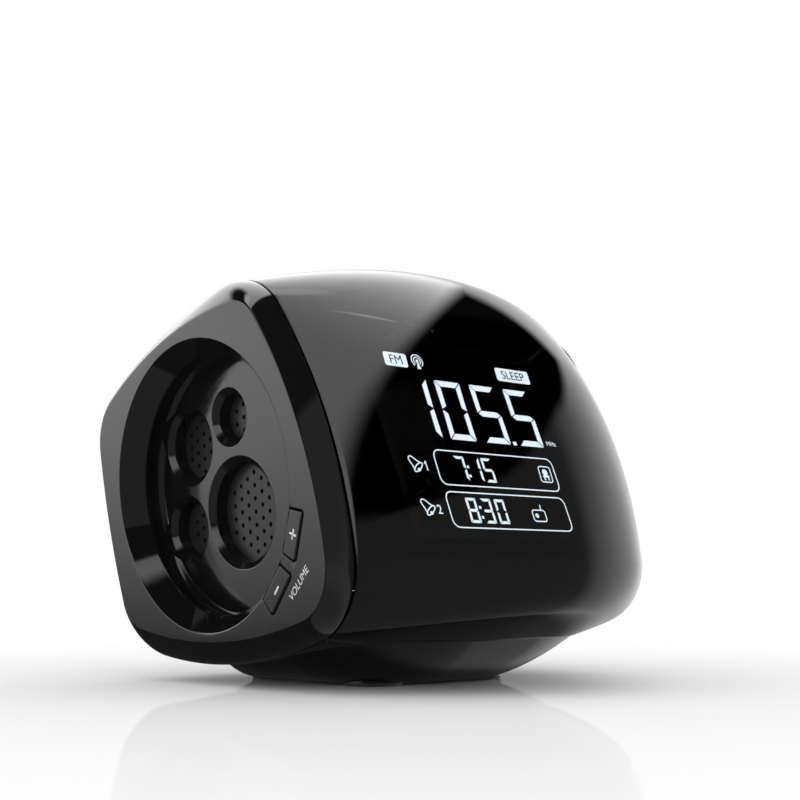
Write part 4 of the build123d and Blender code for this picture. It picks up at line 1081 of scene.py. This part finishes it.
# %% Legends on the end cap
LEFT_FACE = Matrix(((0, -math.sin(LEAN), -math.cos(LEAN), MID_X - HALF_WIDTH), (-1, 0, 0, AXIS_Y),
                    (0, math.cos(LEAN), -math.sin(LEAN), AXIS_Z), (0, 0, 0, 1)))
VOLUME_MIDDLE = (VOLUME_IN + VOLUME_OUT) / 2
VOLUME_WORD = (44.1, -27.6)     # to the front and up from the axis
READING_TURN = math.atan2(0.72, 0.69)
SIGN, SIGN_LINE, PRINT_LIFT = 2.9, 0.55, 0.03

for body, angle in VOLUME_ANGLES.items():
    turn = math.radians(angle)
    outward = np.array([-math.cos(turn), math.sin(turn)])
    middle, along = outward * VOLUME_MIDDLE, np.array([-outward[1], outward[0]])
    sign = [stroke([middle - along * SIGN / 2, middle + along * SIGN / 2], SIGN_LINE)]
    if body == "volume_up":
        sign.append(stroke([middle - outward * SIGN / 2, middle + outward * SIGN / 2], SIGN_LINE))
    made = make_marks(f"{body}_sign", sign, on_plane(LEFT_FACE, VOLUME_PROUD + PRINT_LIFT))
    add_piece(made, body, "white_plastic")
volume_word = make_marks("volume_word", [words("VOLUME", 2.05, *VOLUME_WORD, READING_TURN, 0.2)],
                         on_plane(LEFT_FACE, PRINT_LIFT))
add_piece(volume_word, "case", "white_plastic")
print("plus and minus are", SIGN, "mm long, their strokes", SIGN_LINE, "mm wide")


# %% Legends on the slope
def on_keys(points):
    return drape(key_tree, SLOPE, points, -PRINT_LIFT)


# Whoever faces the display reads them from above, over the ridge, so their feet are to the front
power_x, power_y = KEYS[1][1:3]
power_sign = [arc_shape(power_x, power_y, 1.5, 125, 415, 0.4),
              stroke([(power_x, power_y + 0.3), (power_x, power_y + 2.0)], 0.4)]
legends = {"snooze": [words("SNOOZE", 2.6, 0.0, -6.0)], "power": power_sign,
           "source": [words("SOURCE", 1.5, -22.5, 10.0)],
           "tune_down": [polygon([(-6.3, 8.5), (-6.3, 11.5), (-9.0, 10.0)])],
           "tune_up": [polygon([(6.3, 8.5), (9.0, 10.0), (6.3, 11.5)])],
           "alarm_1": [words("AL 1", 1.8, 22.5, 10.0)], "alarm_2": [words("AL 2", 1.8, 37.5, 10.0)]}
for body, shapes in legends.items():
    add_piece(make_marks(f"{body}_legend", shapes, on_keys), body, "white_plastic")
print(len(legends), "legends on the slope")

# %% [markdown]
# ## Shader maths as plain arithmetic
# A material is a sheet of nodes. `Reading` wraps one number that varies over a surface, so that
# an expression such as `1 - mask * 0.5` adds its Math nodes by itself. Every other node comes
# from `Finish.node`, which takes the node's type, its settings and what feeds its sockets.


# %% Readings
class Reading:
    """One varying number on a node sheet."""

    def __init__(self, sheet, socket):
        self.sheet, self.socket = sheet, socket

    def maths(self, operation, first, second):
        return self.sheet.node("ShaderNodeMath", "Value", {"operation": operation},
                               {0: first, 1: second})

    def __add__(self, other):
        return self.maths("ADD", self, other)

    def __sub__(self, other):
        return self.maths("SUBTRACT", self, other)

    def __rsub__(self, other):
        return self.maths("SUBTRACT", other, self)

    def __mul__(self, other):
        return self.maths("MULTIPLY", self, other)

    def __truediv__(self, other):
        return self.maths("DIVIDE", self, other)

    def __rtruediv__(self, other):
        return self.maths("DIVIDE", other, self)

    def __abs__(self):
        return self.maths("ABSOLUTE", self, 0.0)

    __radd__, __rmul__ = __add__, __mul__


print("readings know", [name for name in vars(Reading) if name.startswith("__r")])


# %% Node sheets
class Finish:
    """The node sheet of a material or of the world."""

    def __init__(self, owner, output="ShaderNodeOutputMaterial"):
        owner.use_nodes = True
        self.owner, self.tree = owner, owner.node_tree
        self.tree.nodes.clear()
        self.end = self.tree.nodes.new(output)

    def node(self, kind, output, settings=None, inputs=None):
        """Adds a node, sets it up, feeds its sockets and returns one of its outputs."""
        made = self.tree.nodes.new(kind)
        for name, value in (settings or {}).items():
            setattr(made, name, value)
        for name, value in (inputs or {}).items():
            socket = made.inputs[name]
            if isinstance(value, Reading):
                self.tree.links.new(value.socket, socket)
            else:
                socket.default_value = value
        return Reading(self, made.outputs[output])

    def place(self):
        return self.node("ShaderNodeTexCoord", "Object")

    def noise(self, scale, detail=3.0, roughness=0.55):
        """Cloudy values about 0.5; scale is in features per metre."""
        return self.node("ShaderNodeTexNoise", "Fac", {}, {
            "Vector": self.place(), "Scale": scale, "Detail": detail, "Roughness": roughness})

    def ramp(self, value, low, high, to_low=0.0, to_high=1.0, smooth=True):
        """Maps low..high to to_low..to_high and stays there outside."""
        kind = "SMOOTHSTEP" if smooth else "LINEAR"
        return self.node("ShaderNodeMapRange", "Result", {"interpolation_type": kind}, {
            "Value": value, "From Min": low, "From Max": high, "To Min": to_low, "To Max": to_high})

    def mix_colour(self, factor, first, second):
        return self.node("ShaderNodeMix", 2, {"data_type": "RGBA"}, {0: factor, 6: first, 7: second})

    def bump(self, height, distance, strength=1.0):
        return self.node("ShaderNodeBump", "Normal", {}, {
            "Height": height, "Distance": distance, "Strength": strength})

    def principled(self, **sockets):
        names = {name.replace("_", " "): value for name, value in sockets.items()}
        return self.node("ShaderNodeBsdfPrincipled", "BSDF", {}, names)

    def mix_shader(self, factor, first, second):
        return self.node("ShaderNodeMixShader", "Shader", {}, {0: factor, 1: first, 2: second})

    def finish(self, shader):
        self.tree.links.new(shader.socket, self.end.inputs["Surface"])
        return self.owner


print("a sheet offers", [name for name in vars(Finish) if not name.startswith("_")])


# %% Colours
def rgb(red, green, blue):
    return (red, green, blue, 1.0)


def grey(level):
    return rgb(level, level, level)


print("middle grey is", grey(0.18))


# %% [markdown]
# ## Moulded finishes
# High gloss plastic owes its look to two things: an even, nearly black body, and a skin that is
# almost a mirror but swells a little, so that the edge of a reflected lamp wavers. Fine dust and
# wiping marks vary its roughness. Satin and matt mouldings get their look from a fine grain.


# %% Plastics
def gloss_plastic(name, dark, light, smooth, worn, swell=0.00001):
    sheet = Finish(bpy.data.materials.new(name))
    clouds, wiped = sheet.noise(45.0), sheet.noise(420.0, 4.0)
    colour = sheet.mix_colour(clouds, rgb(*dark), rgb(*light))
    rough = sheet.ramp(wiped, 0.45, 0.8, smooth, worn)
    skin = sheet.bump(sheet.noise(70.0, 1.0), swell, 0.25)
    return sheet.finish(sheet.principled(Base_Color=colour, Roughness=rough, Normal=skin, IOR=1.5))


def grained_plastic(name, dark, light, rough, grain, depth, specular=0.5):
    sheet = Finish(bpy.data.materials.new(name))
    colour = sheet.mix_colour(sheet.noise(60.0), rgb(*dark), rgb(*light))
    fine = sheet.noise(grain, 2.0)
    roughness = sheet.ramp(fine, 0.3, 0.7, rough - 0.04, rough + 0.04)
    return sheet.finish(sheet.principled(
        Base_Color=colour, Roughness=roughness, Normal=sheet.bump(fine, depth, 0.4),
        Specular_IOR_Level=specular))


# %% Moulded finishes, from their darkest and lightest colour to their grain
finishes = {
    "case_gloss": gloss_plastic("case_gloss_black", (0.003,) * 3, (0.005,) * 3, 0.02, 0.05),
    "cap_gloss": gloss_plastic("cap_gloss_black", (0.005,) * 3, (0.007,) * 3, 0.04, 0.08),
    "key_gloss": gloss_plastic("key_gloss_black", (0.005,) * 3, (0.008,) * 3, 0.04, 0.09),
    "belly_satin": grained_plastic(
        "belly_satin_black", (0.003,) * 3, (0.005,) * 3, 0.2, 1200.0, 0.000003, 0.22),
    "drum_gloss": gloss_plastic("drum_gloss_black", (0.006,) * 3, (0.009,) * 3, 0.05, 0.1),
    "cup_satin": grained_plastic(
        "cup_satin_black", (0.006,) * 3, (0.009,) * 3, 0.12, 900.0, 0.000003),
    "inner_plastic": grained_plastic(
        "inner_matt_black", (0.012,) * 3, (0.02,) * 3, 0.55, 1500.0, 0.00002),
    "white_plastic": grained_plastic(
        "white_print", (0.8, 0.81, 0.82), (0.86, 0.87, 0.88), 0.45, 2500.0, 0.000004),
    "rubber": grained_plastic(
        "soft_rubber", (0.014,) * 3, (0.024,) * 3, 0.7, 2200.0, 0.00003),
    "grille": grained_plastic(
        "grille_painted", (0.012,) * 3, (0.02,) * 3, 0.42, 3000.0, 0.000006),
    "electronics": grained_plastic(
        "chip_epoxy", (0.012,) * 3, (0.022,) * 3, 0.5, 2600.0, 0.00001),
    "ferrite": grained_plastic(
        "ferrite_ceramic", (0.03, 0.028, 0.027), (0.05, 0.048, 0.046), 0.6, 1400.0, 0.00003),
}
print(len(finishes), "moulded finishes")

# %% [markdown]
# ## Metal, paper, board and glass
# Only what can be glimpsed through the grilles or at the rear needs them, but every piece that
# someone may open the clock for gets its own: drawn steel, copper, coated paper, green board.


# %% Metal and paper
def brushed_metal(name, dark, light, rough):
    sheet = Finish(bpy.data.materials.new(name))
    stretched = sheet.node("ShaderNodeMapping", "Vector", {}, {
        "Vector": sheet.place(), "Scale": (40, 900, 900)})
    strokes = sheet.node("ShaderNodeTexNoise", "Fac", {}, {
        "Vector": stretched, "Scale": 1.0, "Detail": 3.0})
    colour = sheet.mix_colour(strokes, rgb(*dark), rgb(*light))
    return sheet.finish(sheet.principled(
        Base_Color=colour, Metallic=1.0, Roughness=sheet.ramp(strokes, 0.3, 0.7, rough - 0.06, rough + 0.08),
        Normal=sheet.bump(strokes, 0.00001, 0.3)))


def paper_cone(name):
    sheet = Finish(bpy.data.materials.new(name))
    fibres = sheet.noise(700.0, 6.0, 0.7)
    return sheet.finish(sheet.principled(
        Base_Color=sheet.mix_colour(fibres, rgb(0.012, 0.012, 0.013), rgb(0.03, 0.03, 0.032)),
        Roughness=sheet.ramp(fibres, 0.3, 0.7, 0.75, 0.95), Normal=sheet.bump(fibres, 0.00008, 0.5)))


# %% Board and clear parts
def solder_mask(name):
    sheet = Finish(bpy.data.materials.new(name))
    weave = sheet.node("ShaderNodeTexVoronoi", "Distance", {"feature": "DISTANCE_TO_EDGE"},
                       {"Vector": sheet.place(), "Scale": 420.0})
    tracks = sheet.ramp(weave, 0.02, 0.05)
    return sheet.finish(sheet.principled(
        Base_Color=sheet.mix_colour(tracks, rgb(0.05, 0.26, 0.1), rgb(0.02, 0.14, 0.05)),
        Roughness=sheet.ramp(tracks, 0.0, 1.0, 0.25, 0.38), Normal=sheet.bump(tracks, 0.00003, 0.4)))


def clear_plastic(name):
    sheet = Finish(bpy.data.materials.new(name))
    rough = sheet.ramp(sheet.noise(300.0), 0.4, 0.7, 0.01, 0.05)
    return sheet.finish(sheet.principled(
        Base_Color=grey(0.95), Roughness=rough, Transmission_Weight=1.0, IOR=1.49))


def unlit_glass(name):
    sheet = Finish(bpy.data.materials.new(name))
    clouds = sheet.noise(50.0)
    return sheet.finish(sheet.principled(
        Base_Color=sheet.mix_colour(clouds, grey(0.0008), grey(0.0016)),
        Roughness=sheet.ramp(clouds, 0.3, 0.7, 0.3, 0.4), Specular_IOR_Level=0.1))


finishes |= {
    "steel": brushed_metal("zinc_plated_steel", (0.42, 0.43, 0.45), (0.62, 0.63, 0.65), 0.34),
    "copper": brushed_metal("copper_winding", (0.6, 0.28, 0.13), (0.8, 0.42, 0.22), 0.3),
    "paper_cone": paper_cone("coated_paper"),
    "circuit_board": solder_mask("green_board"),
    "clear_glass": clear_plastic("clear_lens"),
    "display_glass": unlit_glass("unlit_display"),
}
print(sorted(finishes))

# %% [markdown]
# ## The front: a window with no frame
# The whole front is one smoke-tinted moulding. Where the display is, it is left clear enough for
# lit marks to shine through, and elsewhere it is blacked out from inside. So the window has no
# edge that can be felt or seen. Two shaders share the work: black gloss, and a tinted sheet that
# lets part of the light pass. Both reflect alike, so the mask between them stays invisible. The
# tint is dark enough to hide the frame, the board and the legs, and the marks are bright enough
# to make up for it.

# %% Window
WINDOW_LEFT, WINDOW_RIGHT, WINDOW_HEIGHT, WINDOW_FADE, SMOKE = 55.0, 43.0, 66.0, 3.0, 0.12
MARK_GLOW = 8.4
print("window", WINDOW_LEFT + WINDOW_RIGHT, "by", WINDOW_HEIGHT, "mm")


def window_mask(sheet):
    """1 over the display, 0 elsewhere."""
    parts = sheet.node("ShaderNodeSeparateXYZ", "X", {}, {"Vector": sheet.place()})
    across = parts / MM - MID_X
    high = abs(Reading(sheet, parts.socket.node.outputs["Z"]) / MM - LCD_Z)
    inside = sheet.ramp(across, -WINDOW_LEFT - WINDOW_FADE, -WINDOW_LEFT)
    inside = inside * sheet.ramp(across, WINDOW_RIGHT, WINDOW_RIGHT + WINDOW_FADE, 1.0, 0.0)
    return inside * sheet.ramp(high, WINDOW_HEIGHT / 2, WINDOW_HEIGHT / 2 + WINDOW_FADE, 1.0, 0.0)


# %% Front finish
def front_finish(name):
    sheet = Finish(bpy.data.materials.new(name))
    rough = sheet.ramp(sheet.noise(420.0, 4.0), 0.45, 0.8, 0.02, 0.045)
    skin = sheet.bump(sheet.noise(70.0, 1.0), 0.00001, 0.25)
    colour = sheet.mix_colour(sheet.noise(45.0), grey(0.002), grey(0.0035))
    black = sheet.principled(Base_Color=colour, Roughness=rough, Normal=skin, IOR=1.5)
    tint = sheet.node("ShaderNodeBsdfTransparent", "BSDF", {}, {
        "Color": rgb(SMOKE, SMOKE, SMOKE * 1.03)})
    sheen = sheet.node("ShaderNodeBsdfGlossy", "BSDF", {}, {
        "Color": grey(1.0), "Roughness": 0.03, "Normal": skin})
    mirror = sheet.node("ShaderNodeFresnel", "Fac", {}, {"IOR": 1.5})
    smoked = sheet.mix_shader(mirror, tint, sheen)
    return sheet.finish(sheet.mix_shader(window_mask(sheet), black, smoked))


def front_inside(name):
    """The blacked-out inner face, bare in front of the display."""
    sheet = Finish(bpy.data.materials.new(name))
    grain = sheet.noise(1500.0, 2.0)
    black = sheet.principled(Base_Color=sheet.mix_colour(grain, grey(0.008), grey(0.014)), Roughness=0.6)
    bare = sheet.node("ShaderNodeBsdfTransparent", "BSDF", {}, {"Color": grey(1.0)})
    return sheet.finish(sheet.mix_shader(window_mask(sheet), black, bare))


# %% Lit marks and what is behind the front
def lit_marks(name):
    """Backlit marks, whose blue-white glow isn't quite even."""
    sheet = Finish(bpy.data.materials.new(name))
    glow = sheet.mix_colour(sheet.noise(60.0), rgb(0.78, 0.92, 1.0), rgb(0.86, 0.96, 1.0))
    return sheet.finish(sheet.principled(Base_Color=grey(0.02), Roughness=0.6, Emission_Color=glow,
                                         Emission_Strength=MARK_GLOW))


finishes["front_gloss"] = front_finish("front_smoked_gloss")
inner_front = front_inside("front_inner_face")
marks_lit = lit_marks("display_light")
print("front:", finishes["front_gloss"].name, inner_front.name, marks_lit.name)

# %% [markdown]
# ## Handing out the finishes
# Each node of the frame names its material slot in the record, and each rebuilt piece was given
# its slot above. Pieces that need something of their own come last.

# %% Assign
node_slot = {part["node"]: part["material_slot"] for part in frame["record"]["subparts"]}
for name, node in frame["nodes"].items():
    node.data.materials.clear()
    node.data.materials.append(finishes[node_slot[name]])
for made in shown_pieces():
    if made.get("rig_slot") and made.name not in frame["nodes"]:
        made.data.materials.clear()
        made.data.materials.append(finishes[made["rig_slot"]])
front.data.materials.append(inner_front)
front.modifiers["wall"].material_offset = 1
display_marks.data.materials[0] = marks_lit
tag_letters.data.materials[0] = finishes["display_glass"]
belly.data.materials[0] = finishes["belly_satin"]
print(len(bpy.data.materials), "materials")

# %% [markdown]
# ## Table, backdrop and light
# The clock stands on a white table in a white room. That even white is all that lights it, so
# that print and screws come out in the colour they are written in, and the table keeps a soft
# shadow. Black gloss has hardly any colour of its own: it looks like what it mirrors. In a
# studio large soft boxes hang round such an object, with black between them, and their edges
# draw its bulges. The world does the same for mirrored rays only. Each soft box is all that
# lies nearer to a direction than some angle, with a blurred rim, and of two that overlap the
# brighter one wins. The room is a function of direction, so no lamp stands in anyone's way.

# %% Table
FLOOR_R, FLOOR_FADE_FROM, FLOOR_FADE_TO = 0.6, 0.16, 0.34


def table_finish(name):
    sheet = Finish(bpy.data.materials.new(name))
    away = sheet.node("ShaderNodeVectorMath", "Value", {"operation": "LENGTH"}, {0: sheet.place()})
    fading = sheet.ramp(away, FLOOR_FADE_FROM, FLOOR_FADE_TO)
    cloth = sheet.node("ShaderNodeBsdfDiffuse", "BSDF", {}, {"Color": sheet.mix_colour(
        sheet.noise(30.0), grey(0.97), grey(0.99))})
    sheen = sheet.node("ShaderNodeBsdfGlossy", "BSDF", {}, {"Color": grey(1.0), "Roughness": 0.04})
    near = sheet.mix_shader(0.12, cloth, sheen)
    gone = sheet.node("ShaderNodeBsdfTransparent", "BSDF", {}, {"Color": grey(1.0)})
    return sheet.finish(sheet.mix_shader(fading, near, gone))


table_mesh = bpy.data.meshes.new("table_top")
bm = bmesh.new()
bmesh.ops.create_circle(bm, cap_ends=True, segments=96, radius=FLOOR_R)
bm.to_mesh(table_mesh)
bm.free()
table_top = new_object("table_top", table_mesh)
table_mesh.materials.append(table_finish("white_table"))
table_top.visible_glossy = False
print("table", 2 * FLOOR_R, "m across")


# %% Directions and soft boxes
def direction(azimuth, elevation):
    """Azimuth 0 looks along +Y, 90 along +X."""
    a, e = math.radians(azimuth), math.radians(elevation)
    return Vector((math.sin(a) * math.cos(e), math.cos(a) * math.cos(e), math.sin(e)))


def dot(sheet, vector, fixed):
    return sheet.node("ShaderNodeVectorMath", "Value", {"operation": "DOT_PRODUCT"},
                      {0: vector, 1: fixed})


def soft_box(sheet, look, azimuth, elevation, reach, blur):
    """1 where the look is nearer to a direction than the angle whose cosine is the reach."""
    return sheet.ramp(dot(sheet, look, direction(azimuth, elevation)), reach - blur, reach + blur)


def brighter(sheet, first, second):
    return sheet.node("ShaderNodeMath", "Value", {"operation": "MAXIMUM"}, {0: first, 1: second})


print("up, left and to the rear:", tuple(round(part, 2) for part in direction(-45.0, 45.0)))

# %% Room
# Each is azimuth, elevation, cosine of its reach and blur of its rim
TABLE_FRONT, TABLE_SIDE = (138.0, -63.0, -0.255, 0.027), (164.0, -58.0, -0.045, 0.01)
TABLE_LEVEL, TABLE_GLOW, GLOW_LEVEL = 0.24, (95.0, -1.0, 0.79, 0.16), 1.12
TABLE_SHADE, SHADE = (-1.0, -22.7, 0.62, 0.024), 0.86
WALL, WALL_FOOT, WALL_LEVEL = (-33.0, 33.0, 0.318, 0.027), (-70.5, 68.0, 0.238, 0.15), 2.1
WALL_GLOW, WALL_GLOW_LEVEL, WALL_GAP = (20.7, 64.0, 0.78, 0.35), 1.0, (-52.7, 55.0, 0.835, 0.057)
OVERHEAD, OVERHEAD_LEVEL = (-2.6, 84.0, 0.979, 0.019), 3.8
BACKDROP, BACKDROP_LEVEL, HORIZON = (42.0, 5.0, 0.8, 0.05), 1.05, 0.015


def light_room(world):
    sheet = Finish(world, "ShaderNodeOutputWorld")
    look = sheet.node("ShaderNodeTexCoord", "Generated")

    def box(place):
        return soft_box(sheet, look, *place)

    table = box(TABLE_GLOW) * GLOW_LEVEL + TABLE_LEVEL
    table = table * (1 - box(TABLE_SHADE) * SHADE)
    table = table * brighter(sheet, box(TABLE_FRONT), box(TABLE_SIDE))
    wall = (box(WALL_GLOW) * WALL_GLOW_LEVEL + WALL_LEVEL) * box(WALL)
    wall = wall * box(WALL_FOOT) * (1 - box(WALL_GAP))
    studio = brighter(sheet, brighter(sheet, table, wall), box(OVERHEAD) * OVERHEAD_LEVEL)
    above = sheet.ramp(dot(sheet, look, (0, 0, 1)), HORIZON, 2 * HORIZON)
    studio = brighter(sheet, studio, box(BACKDROP) * above * BACKDROP_LEVEL)
    mirrored = sheet.node("ShaderNodeLightPath", "Is Glossy Ray")
    return sheet.finish(sheet.node("ShaderNodeBackground", "Background", {}, {
        "Color": grey(1.0), "Strength": mirrored * (studio - 1) + 1}))


world = bpy.data.worlds.new("studio")
bpy.context.scene.world = light_room(world)
print("the room has", len(world.node_tree.nodes), "nodes")

# %% [markdown]
# ## Camera
# A long-ish lens just above the table looks up a little at the left front corner. So it sees the
# speaker in the end cap and the display at once, and the clock stands tall over the table.

# %% Camera
EYE = Vector((-302.9, -322.7, 29.5)) * MM
VIEW_AZIMUTH, VIEW_PITCH, VIEW_LENS = 42.25, 7.24, 64.35
camera_data = bpy.data.cameras.new("camera")
camera_data.lens = VIEW_LENS
camera_data.sensor_width = 36.0
camera_data.clip_start = 0.01
camera = new_object("camera", camera_data)
camera.location = EYE
camera.rotation_euler = direction(VIEW_AZIMUTH, VIEW_PITCH).to_track_quat("-Z", "Y").to_euler()
bpy.context.scene.camera = camera
bpy.context.scene.view_settings.view_transform = "Standard"
print(f"camera {EYE.length:.2f} m away, lens {VIEW_LENS} mm")

# %% [markdown]
# ## The end
# Last, the view layer is brought up to date. The dressed clock has to keep to the
# frame's box.

# %% Finish
bpy.context.view_layer.update()
